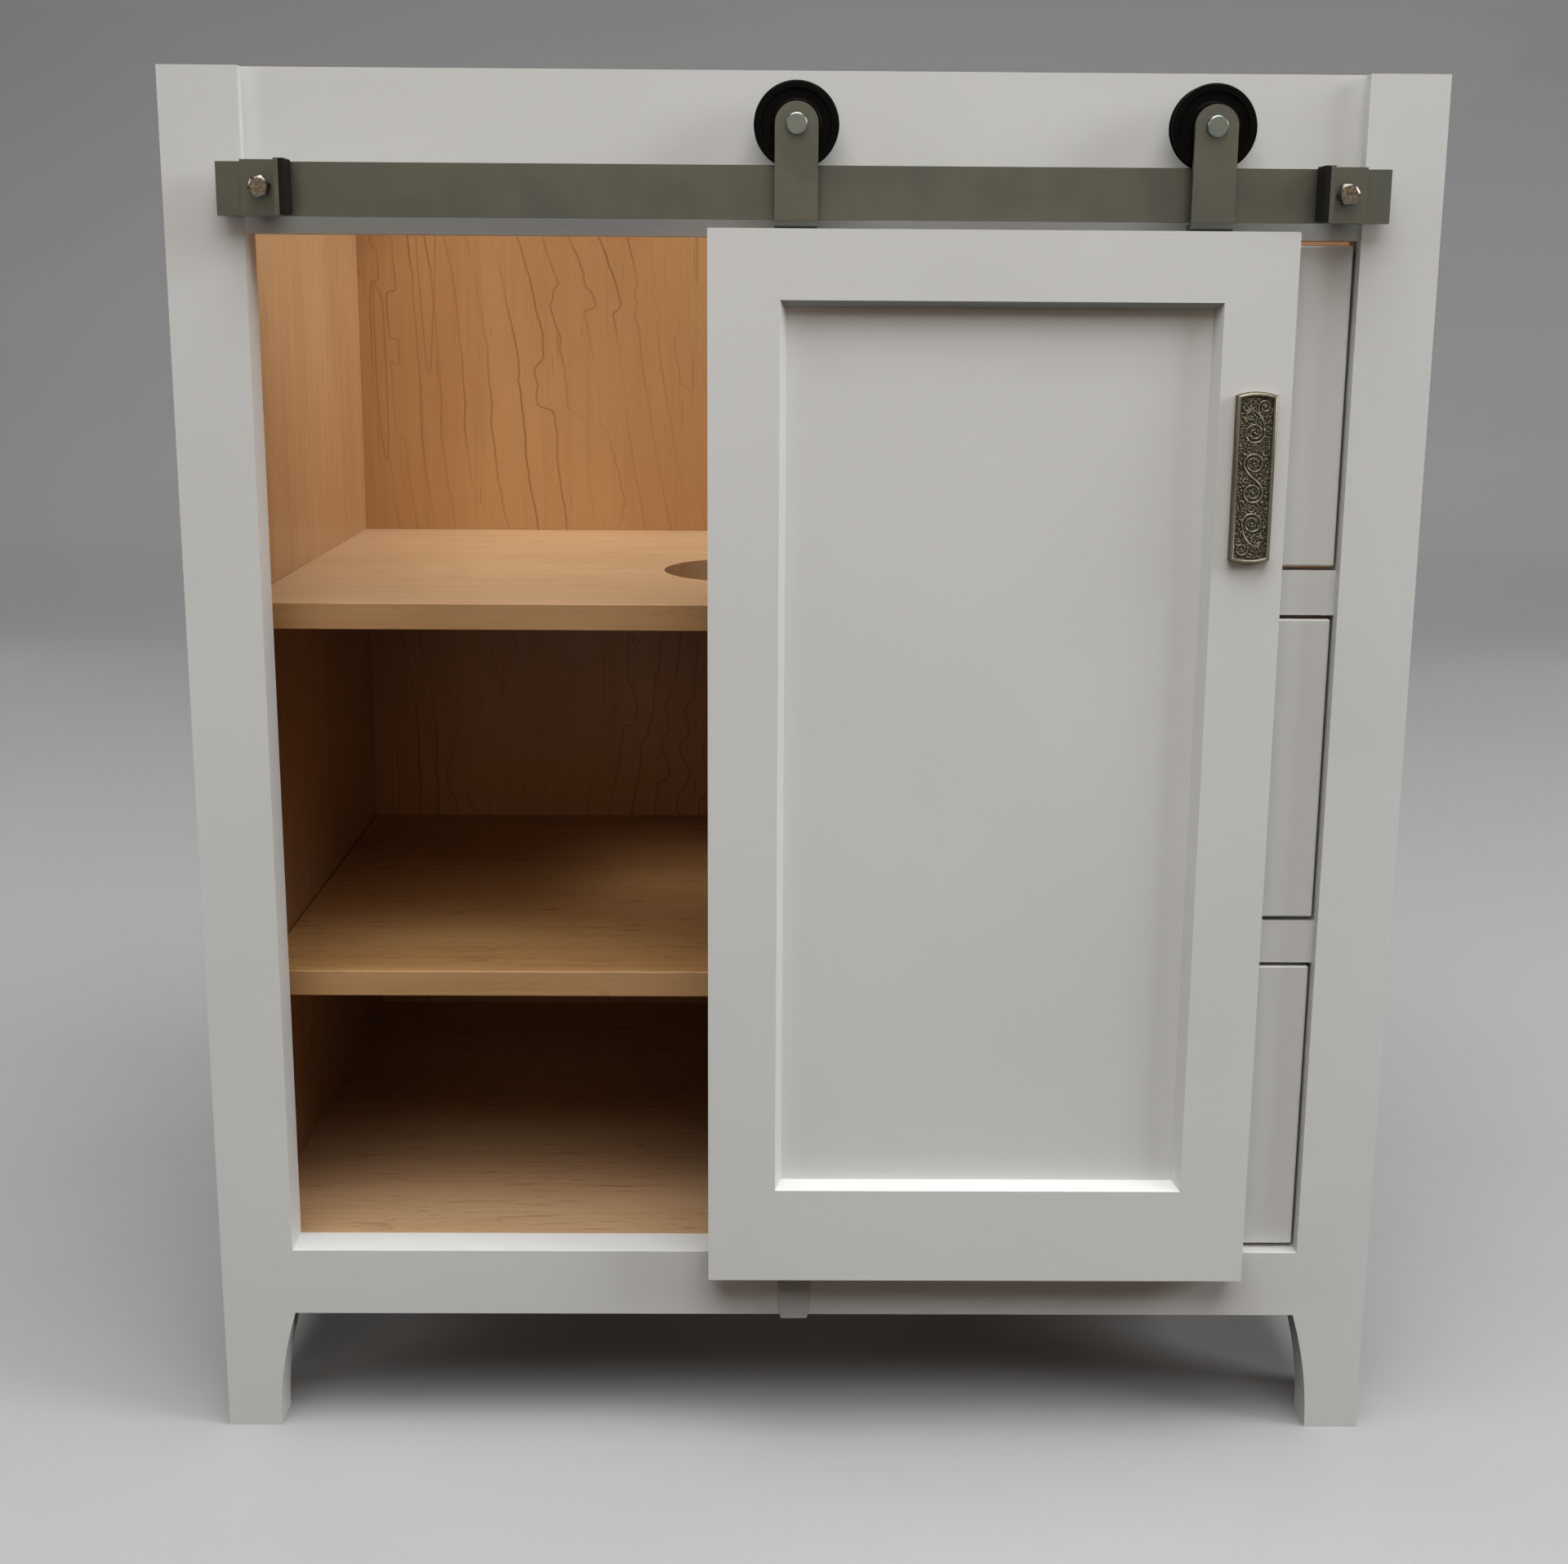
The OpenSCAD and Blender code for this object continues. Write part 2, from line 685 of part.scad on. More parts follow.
guide_top_z = door_z - guide_gap;
guide_corner = 0.8;
module guide_plate() rotate([90, 0, 0]) linear_extrude(guide_plate_t) {
    top = guide_w / 2;
    low = top - guide_taper;
    translate([guide_x, 0]) polygon([
        [-top, guide_top_z], [-low, arch_h + guide_corner], [guide_corner - low, arch_h],
        [low - guide_corner, arch_h], [low, arch_h + guide_corner], [top, guide_top_z]
    ]);
}

module door_guide() color(PAINT) place() difference() {
    union() {
        guide_plate();
        block([guide_x - guide_w / 2, tongue_front_y, guide_top_z - guide_t],
              [guide_x + guide_w / 2, 0, guide_top_z]);
        block([guide_x - guide_w / 2, tongue_front_y, guide_top_z - guide_t],
              [guide_x + guide_w / 2, tongue_front_y + guide_t, door_z + tongue_h]);
    }
    guide_screw_set(0);
}

guide_screw_pitch = 11;
guide_screw_z = (arch_h + floor_z) / 2;
guide_screw_end = -guide_plate_t + 1.5;
module guide_screw_set(play) for (side = [-1, 1]) {
    x = guide_x + side * guide_screw_pitch / 2;
    bar_y(x, guide_screw_z, guide_screw_end, post_t, guide_screw_d + play);
    translate([x, post_t + tiny, guide_screw_z])
        rotate([90, 0, 0])
            cylinder(d1 = 2 * guide_screw_d + play, d2 = guide_screw_d + play, h = guide_screw_d / 2);
}

module guide_screws() color(ZINC) place() guide_screw_set(0);

// Door

// Moves a piece of the parked door from the door's own lower front edge to its place
module on_door() place() translate([door_park, door_front_y, door_z]) children();

// Outline of a frame member seen from its end, from its outer edge inwards
module sticking(face, grooved) {
    deep = face + bevel_run;
    difference() {
        polygon([[0, 0], [face, 0], [deep, panel_recess - bevel_land], [deep, door_t], [0, door_t]]);
        if (grooved)
            translate([deep - panel_groove, panel_recess]) square([panel_groove + 1, groove_w]);
    }
}

module door_stile(grooved)
    translate([-door_half, 0, 0]) linear_extrude(door_h) sticking(door_stile_w, grooved);

module guide_slot()
    block([-door_half - 1, slot_y - slot_w / 2, -1], [door_half + 1, slot_y + slot_w / 2, slot_h]);

// Screw holes from the back of the door into the pull
module pull_screw_set(play) for (side = [-1, 1]) {
    z = pull_rise + side * pull_screw_pitch / 2;
    bar_y(pull_x, z, -screw_bite, door_t - screw_head_h, pull_screw_d + play);
    bar_y(pull_x, z, door_t - screw_head_h - play / 2, door_t + (play > 0 ? 1 : 0), screw_head_d + play);
}

module door_left_stile() color(PAINT) on_door() difference() {
    door_stile(true);
    guide_slot();
}

module door_right_stile() color(PAINT) on_door() difference() {
    mirror([1, 0, 0]) door_stile(true);
    guide_slot();
    pull_screw_set(bolt_play);
}

// A rail with its ends coped over the stiles and its stub tenons in their grooves
module door_rail(face) {
    difference() {
        translate([-stile_face_x, 0, 0])
            rotate([90, 0, 90]) linear_extrude(2 * stile_face_x) mirror([1, -1]) sticking(face, true);
        both_sides() translate([0, 0, -1]) door_stile(false);
    }
    both_sides()
        block([stile_inner_x, panel_recess, 0],
              [stile_inner_x + panel_groove, panel_recess + groove_w, face + bevel_run - panel_groove]);
}

module door_top_rail() color(PAINT) on_door() difference() {
    translate([0, 0, door_h]) mirror([0, 0, 1]) door_rail(door_top_w);
    both_sides() foot_screw(0);
}

module door_bottom_rail() color(PAINT) on_door() difference() {
    door_rail(door_bottom_w);
    guide_slot();
}

module door_panel() color(PAINT) on_door() {
    reach_x = stile_inner_x + panel_groove - panel_swell;
    low_z = door_bottom_w + bevel_run - panel_groove + panel_swell;
    high_z = door_h - door_top_w - bevel_run + panel_groove - panel_swell;
    block([-reach_x, panel_recess, low_z], [reach_x, panel_recess + panel_t, high_z]);
}

// Pull

// Outline of the pull, with a round arc at both ends
pull_radius = (pull_w * pull_w / 4 + pull_arch * pull_arch) / (2 * pull_arch);
module pull_outline() {
    centre = pull_h / 2 - pull_radius;
    intersection() {
        square([pull_w, pull_h], center = true);
        union() {
            square([pull_w, 2 * max(centre, 0)], center = true);
            for (side = [-1, 1]) translate([0, side * centre]) circle(pull_radius, $fn = 180);
        }
    }
}

// Space inside the rim, which slopes down to the sunk ground along its sides and arched ends
module pull_hollow() {
    low = pull_rim + pull_slope;
    rise = pull_d - pull_sink;
    middle = max(pull_h / 2 - pull_radius, 0);
    intersection() {
        translate([0, pull_h / 2, 0]) rotate([90, 0, 0]) linear_extrude(pull_h) polygon([
            [low - pull_w / 2, rise], [pull_w / 2 - low, rise],
            [pull_w / 2 - pull_rim, pull_d], [pull_rim - pull_w / 2, pull_d]
        ]);
        union() {
            block([-pull_w / 2, -middle, rise], [pull_w / 2, middle, pull_d]);
            for (side = [-1, 1])
                translate([0, side * (pull_h / 2 - pull_radius), rise])
                    cylinder(r1 = pull_radius - low, r2 = pull_radius - pull_rim, h = pull_sink, $fn = 180);
        }
    }
}

module pull_body() translate([pull_x, 0, pull_rise]) rotate([90, 0, 0]) difference() {
    linear_extrude(pull_d) pull_outline();
    pull_hollow();
}

module pull() color(PEWTER) on_door() difference() {
    pull_body();
    pull_screw_set(0);
}

module pull_screws() color(ZINC) on_door() pull_screw_set(0);

// Hangers, axles and wheels

// Draws the right-hand hanging gear with the axle on the Z axis of the layout
module at_hanger(side) place() translate([door_park + side * hanger_x, 0, 0]) children();

module hanger() difference() {
    intersection() {
        translate([-strap_w / 2, strap_front_y, door_top_z])
            rotate([90, 0, 90])
                linear_extrude(strap_w) bent_strip(strap_foot, axle_z - door_top_z + strap_w, strap_t);
        translate([0, strap_front_y - 1, 0]) rotate([90, 0, 0]) mirror([0, 0, 1])
            linear_extrude(strap_foot + 2) {
                translate([0, axle_z]) circle(d = strap_w);
                translate([-strap_w / 2, door_top_z - 1]) square([strap_w, axle_z - door_top_z + 1]);
            }
    }
    bar_y(0, axle_z, strap_front_y - 1, strap_back_y + 1, axle_d + 2 * axle_fit);
    translate([-hanger_x, door_front_y, door_z]) foot_screw(bolt_play);
}

module left_hanger() color(STEEL) at_hanger(-1) hanger();

module right_hanger() color(STEEL) at_hanger(1) hanger();

// Countersunk screw down through a hanger's foot, laid out like the door
foot_screw_y = strap_front_y - door_front_y + (strap_t + bend_r + strap_foot) / 2;
module foot_screw(play) translate([hanger_x, foot_screw_y, door_h + strap_t]) {
    head_d = 2 * foot_screw_d - 1;
    translate([0, 0, -foot_screw_l]) cylinder(d = foot_screw_d + play, h = foot_screw_l);
    translate([0, 0, -strap_t + 1]) cylinder(d1 = foot_screw_d + play, d2 = head_d + play, h = strap_t - 1);
}

module hanger_screws() color(ZINC) on_door() both_sides() foot_screw(0);

axle_end_y = wheel_y + wheel_w / 2;
axle_nut_gap = 0.5;
axle_nut_h = 5;
axle_nut_flats = 13;
head_edge = 0.8;
module axle() {
    translate([0, strap_front_y, axle_z]) rotate([90, 0, 0]) {
        cylinder(d = axle_head_d, h = axle_head_h - head_edge);
        translate([0, 0, axle_head_h - head_edge])
            cylinder(d1 = axle_head_d, d2 = axle_head_d - 2 * head_edge, h = head_edge);
    }
    nut_y = axle_end_y + axle_nut_gap;
    bar_y(0, axle_z, strap_front_y - tiny, nut_y + axle_nut_h + 1, axle_d);
    hex_y(0, axle_z, nut_y, nut_y + axle_nut_h, axle_nut_flats);
}

module wheel_axles() color(ZINC) {
    at_hanger(-1) axle();
    at_hanger(1) axle();
}

// Spacer tubes that hold the bearing between strap and nut
spacer_wall = 1.8;
module axle_spacer_pair() difference() {
    union() {
        bar_y(0, axle_z, strap_back_y, wheel_y - bearing_w / 2 - bearing_play, axle_d + 2 * spacer_wall);
        bar_y(0, axle_z, wheel_y + bearing_w / 2 + bearing_play, axle_end_y + axle_nut_gap,
              axle_d + 2 * spacer_wall);
    }
    bar_y(0, axle_z, strap_back_y - 1, axle_end_y + axle_nut_gap + 1, axle_d + 2 * axle_fit);
}

module axle_spacers() color(ZINC) {
    at_hanger(-1) axle_spacer_pair();
    at_hanger(1) axle_spacer_pair();
}

// Grooved wheel turned about the Y axis, drawn as radius against width
rim_edge = 0.8;
module wheel() {
    r = wheel_d / 2;
    half = wheel_w / 2;
    floor_half = track_t / 2 + groove_play;
    groove_r = wheel_groove_d / 2;
    dish_r = groove_r - 2;
    hub_r = wheel_hub_d / 2;
    slope = (r - groove_r) / 2;
    translate([0, wheel_y, axle_z]) rotate([90, 0, 0]) rotate_extrude($fn = 128) polygon([
        [bearing_d / 2, -half], [hub_r - rim_edge, -half], [hub_r, -half + rim_edge],
        [hub_r, -half + wheel_dish], [dish_r, -half + wheel_dish], [dish_r, -half],
        [r - rim_edge, -half], [r, -half + rim_edge], [r, -floor_half - slope],
        [groove_r, -floor_half], [groove_r, floor_half],
        [r, floor_half + slope], [r, half - rim_edge], [r - rim_edge, half],
        [dish_r, half], [dish_r, half - wheel_dish], [hub_r, half - wheel_dish],
        [hub_r, half - rim_edge], [hub_r - rim_edge, half], [bearing_d / 2, half]
    ]);
}

module left_wheel() color(PLASTIC) at_hanger(-1) wheel();

module right_wheel() color(PLASTIC) at_hanger(1) wheel();

module bearing() difference() {
    bar_y(0, axle_z, wheel_y - bearing_w / 2, wheel_y + bearing_w / 2, bearing_d);
    bar_y(0, axle_z, wheel_y - bearing_w, wheel_y + bearing_w, axle_d + 2 * axle_fit);
}

module left_bearing() color(ZINC) at_hanger(-1) bearing();

module right_bearing() color(ZINC) at_hanger(1) bearing();

left_post();
right_post();
top_rail();
bottom_rail();
centre_stile();
drawer_rail_upper();
drawer_rail_lower();
left_side_panel();
right_side_panel();
partition();
floor_panel();
back_panel();
back_nailer();
corner_blocks();
upper_shelf();
upper_shelf_edging();
lower_shelf();
lower_shelf_edging();
shelf_pins();
false_front();
false_front_battens();
runner_packing();
middle_runners();
lower_runners();
track_bar();
track_sleeves();
track_bolts();
left_stop();
right_stop();
stop_pads();
door_guide();
guide_screws();
door_left_stile();
door_right_stile();
door_top_rail();
door_bottom_rail();
door_panel();
pull();
pull_screws();
left_hanger();
right_hanger();
hanger_screws();
wheel_axles();
axle_spacers();
left_wheel();
left_bearing();
right_wheel();
right_bearing();
middle_drawer_front();
middle_drawer_sides();
middle_drawer_ends();
middle_drawer_bottom();
middle_drawer_runners();
lower_drawer_front();
lower_drawer_sides();
lower_drawer_ends();
lower_drawer_bottom();
lower_drawer_runners();
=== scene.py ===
"""Finishes the vanity unit: satin paint, maple veneer, grey track gear and a cast pull."""
import math

import bmesh
import bpy
import numpy as np
from mathutils import Matrix, Vector


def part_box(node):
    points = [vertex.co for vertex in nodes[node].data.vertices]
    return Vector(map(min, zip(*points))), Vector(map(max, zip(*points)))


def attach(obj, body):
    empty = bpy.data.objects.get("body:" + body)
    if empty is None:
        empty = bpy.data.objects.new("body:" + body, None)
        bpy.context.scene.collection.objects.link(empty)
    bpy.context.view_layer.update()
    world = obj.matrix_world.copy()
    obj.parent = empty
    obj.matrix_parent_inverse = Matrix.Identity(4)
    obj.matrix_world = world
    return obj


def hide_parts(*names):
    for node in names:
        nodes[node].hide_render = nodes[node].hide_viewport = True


MM = 0.001
# Points closer than this are one point, and faces that lean less than this lie flat together
SAME_POINT = 0.01 * MM
FLAT = math.radians(0.4)
QUARTER_TURN = math.radians(90)
FULL_TURN = math.radians(360)

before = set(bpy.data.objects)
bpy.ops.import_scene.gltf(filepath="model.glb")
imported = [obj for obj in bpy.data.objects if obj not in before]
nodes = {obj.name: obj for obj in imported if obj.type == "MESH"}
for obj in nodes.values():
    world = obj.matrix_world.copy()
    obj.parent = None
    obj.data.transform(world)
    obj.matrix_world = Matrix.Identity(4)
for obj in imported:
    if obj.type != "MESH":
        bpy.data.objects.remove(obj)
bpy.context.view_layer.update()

# Colours in linear light
PAINT = (0.698, 0.705, 0.697)
# Paint of the door guide, darker than the other paint
GUIDE_DARKER_PAINT = (0.46, 0.464, 0.46)
MAPLE = (0.585, 0.405, 0.240)
MAPLE_DARK = (0.490, 0.300, 0.162)
MAPLE_VEIN = (0.185, 0.066, 0.022)
TRACK_GREY = (0.185, 0.193, 0.166)
PEWTER = (0.325, 0.298, 0.228)
PATINA = (0.056, 0.050, 0.038)
ZINC = (0.27, 0.315, 0.305)
FORGED_STEEL = (0.29, 0.275, 0.245)
PLATED_SHEET = (0.55, 0.56, 0.57)
NYLON = (0.0030, 0.0030, 0.0026)
RUBBER = (0.014, 0.0135, 0.011)
BACKDROP_DARK = (0.40, 0.40, 0.405)
BACKDROP_LIGHT = (0.43, 0.43, 0.435)

# Shares by which the wood of some pieces is tinted
SIDE_TINT = (1.03, 1.00, 0.97)
# The back's share is partly the veneer's own deeper tone and partly painted shade: darker and redder, as
# where only light bounced off wood reaches
BACK_TINT_AND_SHADE = (0.78, 0.66, 0.51)
SHELF_TINT = (0.97, 1, 1.03)
# The lower shelf's share is painted shade: darker and warmer, as under the upper shelf and the door
LOWER_SHELF_SHADE_TINT = (0.93, 0.85, 0.66)
EDGING_TINT = (0.91, 0.84, 0.70)


# Materials

def surface(name):
    """Starts a material and returns it with its node tree and main shader."""
    material = bpy.data.materials.new(name)
    material.use_nodes = True
    return material, material.node_tree, material.node_tree.nodes["Principled BSDF"]


def stretched(tree, scale=(1, 1, 1), place=(0, 0, 0)):
    """Object coordinates with a scale of their own for each axis, moved by a place."""
    where = tree.nodes.new("ShaderNodeTexCoord")
    mapping = tree.nodes.new("ShaderNodeMapping")
    mapping.inputs["Scale"].default_value = scale
    mapping.inputs["Location"].default_value = place
    tree.links.new(where.outputs["Object"], mapping.inputs["Vector"])
    return mapping.outputs["Vector"]


def axis_values(tree):
    """The object coordinates X, Y and Z as values of their own."""
    split = tree.nodes.new("ShaderNodeSeparateXYZ")
    tree.links.new(stretched(tree), split.inputs["Vector"])
    return split.outputs


def noise(tree, vector, scale, detail, roughness=0.5):
    """Fine irregular pattern from 0 to 1."""
    node = tree.nodes.new("ShaderNodeTexNoise")
    node.inputs["Scale"].default_value = scale
    node.inputs["Detail"].default_value = detail
    node.inputs["Roughness"].default_value = roughness
    tree.links.new(vector, node.inputs["Vector"])
    return node.outputs["Fac"]


def spread(tree, value, low, high, to_low=0.0, to_high=1.0):
    """Widens a value from one range to another, and holds it there."""
    node = tree.nodes.new("ShaderNodeMapRange")
    node.interpolation_type = "SMOOTHSTEP"
    node.inputs["From Min"].default_value = low
    node.inputs["From Max"].default_value = high
    node.inputs["To Min"].default_value = to_low
    node.inputs["To Max"].default_value = to_high
    tree.links.new(value, node.inputs["Value"])
    return node.outputs["Result"]


def combined(tree, operation, first, second=0.0):
    """Joins two values, or a value and a number, by the named operation, or changes one value."""
    node = tree.nodes.new("ShaderNodeMath")
    node.operation = operation
    for socket, value in zip(node.inputs, (first, second)):
        if isinstance(value, (int, float)):
            socket.default_value = value
        else:
            tree.links.new(value, socket)
    return node.outputs["Value"]


def blend_colours(tree, amount, first, second):
    """Colour between two colours, by an amount from 0 to 1."""
    node = tree.nodes.new("ShaderNodeMix")
    node.data_type = "RGBA"
    tree.links.new(amount, node.inputs["Factor"])
    for socket, colour in ((node.inputs["A"], first), (node.inputs["B"], second)):
        if isinstance(colour, tuple):
            socket.default_value = (*colour, 1.0)
        else:
            tree.links.new(colour, socket)
    return node.outputs["Result"]


def raise_surface(tree, shader, height, depth, strength):
    """Bumps the surface by a height pattern, with its depth in metres."""
    bump = tree.nodes.new("ShaderNodeBump")
    bump.inputs["Distance"].default_value = depth
    bump.inputs["Strength"].default_value = strength
    tree.links.new(height, bump.inputs["Height"])
    tree.links.new(bump.outputs["Normal"], shader.inputs["Normal"])


def darker(colour, share):
    """A colour at a share of its brightness."""
    return tuple(channel * share for channel in colour)


def satin_paint(name, grain_scale, colour=PAINT):
    """Sprayed off-white paint that shows the faint grain of the board below."""
    material, tree, shader = surface(name)
    cloudy = spread(tree, noise(tree, stretched(tree), 5, 2), 0.35, 0.65)
    tone = blend_colours(tree, cloudy, darker(colour, 0.975), colour)
    tree.links.new(tone, shader.inputs["Base Color"])
    peel = noise(tree, stretched(tree), 900, 2)
    grain = noise(tree, stretched(tree, grain_scale), 420, 3)
    skin = combined(tree, "ADD", combined(tree, "MULTIPLY", peel, 0.6), grain)
    raise_surface(tree, shader, skin, 0.00005, 0.35)
    rough = spread(tree, noise(tree, stretched(tree), 60, 2), 0.3, 0.7, 0.40, 0.50)
    tree.links.new(rough, shader.inputs["Roughness"])
    shader.inputs["Specular IOR Level"].default_value = 0.42
    return material


def thin_line(tree, height, width):
    """Thin line of one width wherever a height passes halfway between two whole numbers.

    Height is a function that gives the value some metres along and across the grain."""
    step = 0.0008
    here = height(0, 0)
    slopes = []
    for shift in ((step, 0), (0, step)):
        rise = combined(tree, "SUBTRACT", height(*shift), here)
        slopes.append(combined(tree, "MULTIPLY", rise, rise))
    slope = combined(tree, "SQRT", combined(tree, "ADD", *slopes))
    from_half = combined(tree, "SUBTRACT", combined(tree, "FRACT", here), 0.5)
    distance = combined(tree, "MULTIPLY", combined(tree, "ABSOLUTE", from_half), step)
    least_slope = 0.004
    gap = combined(tree, "DIVIDE", distance, combined(tree, "MAXIMUM", slope, least_slope))
    return spread(tree, gap, width * 0.2, width * 0.8, 1.0, 0.0)


def growth_lines(tree, axes, place):
    """Thin lines of year rings in cut-through veneer: long, nearly parallel, with jogs and islands."""
    along, across = axes
    rings_per_metre = 54.0
    lean_per_metre = 5.5
    sway_width = 11.0

    def wave(frequency_along, frequency_across, shift_along, shift_across, detail=1.0):
        """Noise with its own number of waves per metre along and across the grain."""
        scale = [frequency_along if axis == along else frequency_across for axis in "XYZ"]
        shifts = {along: shift_along, across: shift_across}
        moved = [shifts.get(axis, 0) for axis in "XYZ"]
        offset = tuple(p + m * f for p, m, f in zip(place, moved, scale))
        return noise(tree, stretched(tree, tuple(scale), offset), 1, detail, 0.45)

    def rings(shift_along, shift_across):
        """Height that grows by one from each year ring to the next."""
        where = axis_values(tree)
        sideways = combined(tree, "ADD", where[across], shift_across)
        lengthways = combined(tree, "ADD", where[along], shift_along)
        steady = combined(tree, "MULTIPLY", sideways, rings_per_metre)
        lean = combined(tree, "MULTIPLY", lengthways, lean_per_metre)
        sway = combined(tree, "MULTIPLY", wave(2.0, 5.0, shift_along, shift_across), sway_width)
        jogs = spread(tree, wave(9, 6, shift_along, shift_across, 3.5), 0.475, 0.525, 0.0, 0.5)
        shiver = combined(tree, "MULTIPLY", wave(30, 16, shift_along, shift_across, 2.0), 0.3)
        uneven = combined(tree, "ADD", combined(tree, "ADD", sway, jogs), shiver)
        return combined(tree, "ADD", combined(tree, "ADD", steady, lean), uneven)

    def islands(shift_along, shift_across):
        """Height of long blobs that stand out of a flat ground."""
        long_blobs = combined(tree, "MULTIPLY", wave(3.4, 46, shift_along, shift_across, 2.0), 9.0)
        return combined(tree, "MAXIMUM", combined(tree, "SUBTRACT", long_blobs, 5.6), 0.0)

    fade = spread(tree, wave(4, 11, 0.3, 0.3, 2.0), 0.38, 0.62, 0.12, 1.0)
    thin = combined(tree, "MULTIPLY", thin_line(tree, rings, 0.0015), fade)
    loops = combined(tree, "MULTIPLY", thin_line(tree, islands, 0.0012), 0.6)
    scratches = combined(tree, "MULTIPLY", spread(tree, wave(16, 420, 0.1, 0.1), 0.735, 0.775), 0.9)
    return combined(tree, "MAXIMUM", combined(tree, "MAXIMUM", thin, loops), scratches)


def flecks(tree, scales, place, length, width, share):
    """Short thin dashes that run with the grain, in loose clusters."""
    dash = noise(tree, stretched(tree, scales(1 / length, 1 / width), place), 1, 1.5)
    cluster = noise(tree, stretched(tree, scales(9, 26), place), 1, 2)
    drawn = spread(tree, dash, share, share + 0.11)
    return combined(tree, "MULTIPLY", drawn, spread(tree, cluster, 0.42, 0.62, 0.15, 1.0))


def maple(name, along, across, seed, figure=0.0, fleck=0.0, coat=0.25, tint=(1, 1, 1), painted_from=None):
    """Clear-lacquered maple. Along and across are axis letters; figure, fleck and coat are strengths.

    Beyond painted_from, in metres to either side of the middle, the wood is under white paint."""
    material, tree, shader = surface(name)

    def scales(with_grain, over_grain):
        """Waves per metre for each axis, with the grain and over it."""
        return tuple(with_grain if axis == along else over_grain for axis in "XYZ")

    def tinted(colour):
        """A wood colour under the piece's tint."""
        return tuple(channel * share for channel, share in zip(colour, tint))

    place = (seed, seed * 0.7, seed * 1.3)
    mottle = noise(tree, stretched(tree, scales(2.6, 8), place), 1, 3, 0.6)
    streak = noise(tree, stretched(tree, scales(4, 190), place), 1, 4, 0.65)
    pore = noise(tree, stretched(tree, scales(60, 1500), place), 1, 2)
    mottled = combined(tree, "MULTIPLY", spread(tree, mottle, 0.32, 0.70), 0.60)
    streaked = combined(tree, "MULTIPLY", spread(tree, streak, 0.36, 0.76), 0.36)
    shade = combined(tree, "ADD", mottled, streaked)
    colour = blend_colours(tree, shade, tinted(MAPLE), tinted(MAPLE_DARK))
    if fleck:
        fine = flecks(tree, scales, place, 0.034, 0.0035, 0.58)
        short = flecks(tree, scales, (seed + 5, seed, seed), 0.012, 0.0022, 0.60)
        marks = combined(tree, "MULTIPLY", combined(tree, "MAXIMUM", fine, short), fleck)
        colour = blend_colours(tree, marks, colour, tinted(MAPLE_VEIN))
    if figure:
        lines = combined(tree, "MULTIPLY", growth_lines(tree, (along, across), place), figure)
        colour = blend_colours(tree, lines, colour, tinted(MAPLE_VEIN))
    if painted_from:
        sideways = combined(tree, "ABSOLUTE", axis_values(tree)["X"])
        outside = combined(tree, "GREATER_THAN", sideways, painted_from)
        colour = blend_colours(tree, outside, colour, PAINT)
    tree.links.new(colour, shader.inputs["Base Color"])
    skin = combined(tree, "ADD", pore, combined(tree, "MULTIPLY", streak, 0.6))
    raise_surface(tree, shader, skin, 0.00006, 0.3)
    tree.links.new(spread(tree, streak, 0.3, 0.7, 0.36, 0.46), shader.inputs["Roughness"])
    shader.inputs["Coat Weight"].default_value = coat
    shader.inputs["Coat Roughness"].default_value = 0.30
    return material


def metal(name, colour, rough, cloud, grain_scale, grain, depth, dull=0.86):
    """Metal with an uneven finish, down to a share of its colour, and a fine surface grain."""
    material, tree, shader = surface(name)
    uneven = noise(tree, stretched(tree), cloud, 3)
    tone = spread(tree, uneven, 0.3, 0.7)
    tree.links.new(blend_colours(tree, tone, darker(colour, dull), colour), shader.inputs["Base Color"])
    tree.links.new(spread(tree, uneven, 0.3, 0.7, rough + 0.05, rough - 0.04), shader.inputs["Roughness"])
    shader.inputs["Metallic"].default_value = 1.0
    raise_surface(tree, shader, noise(tree, stretched(tree, grain_scale), grain, 2), depth, 0.5)
    return material


def moulded(name, colour, rough, shine, grain, depth):
    """Black plastic or rubber with a faint moulded texture."""
    material, tree, shader = surface(name)
    uneven = noise(tree, stretched(tree), 70, 3)
    tree.links.new(blend_colours(tree, uneven, colour, darker(colour, 1.8)), shader.inputs["Base Color"])
    tree.links.new(spread(tree, uneven, 0.3, 0.7, rough - 0.05, rough + 0.07), shader.inputs["Roughness"])
    raise_surface(tree, shader, noise(tree, stretched(tree), grain, 2), depth, 0.5)
    shader.inputs["Specular IOR Level"].default_value = shine
    return material


def cast_pewter():
    """Antique finish: dark in the hollows, rubbed bright on the high parts."""
    material, tree, shader = surface("antique pewter")
    height = tree.nodes.new("ShaderNodeAttribute")
    height.attribute_name = "worn"
    uneven = combined(tree, "SUBTRACT", noise(tree, stretched(tree), 700, 3), 0.5)
    rubbed = combined(tree, "ADD", height.outputs["Fac"], combined(tree, "MULTIPLY", uneven, 0.5))
    bright = spread(tree, rubbed, 0.10, 0.95)
    tree.links.new(blend_colours(tree, bright, PATINA, PEWTER), shader.inputs["Base Color"])
    tree.links.new(spread(tree, bright, 0.0, 0.8, 0.62, 0.34), shader.inputs["Roughness"])
    tree.links.new(spread(tree, bright, 0.0, 0.6, 0.55, 1.0), shader.inputs["Metallic"])
    raise_surface(tree, shader, noise(tree, stretched(tree), 1400, 3), 0.00008, 0.5)
    return material


# Distance of the side panels' outer faces from the middle, less half a millimetre
PAINTED_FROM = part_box("right_side_panel")[1].x - 0.5 * MM

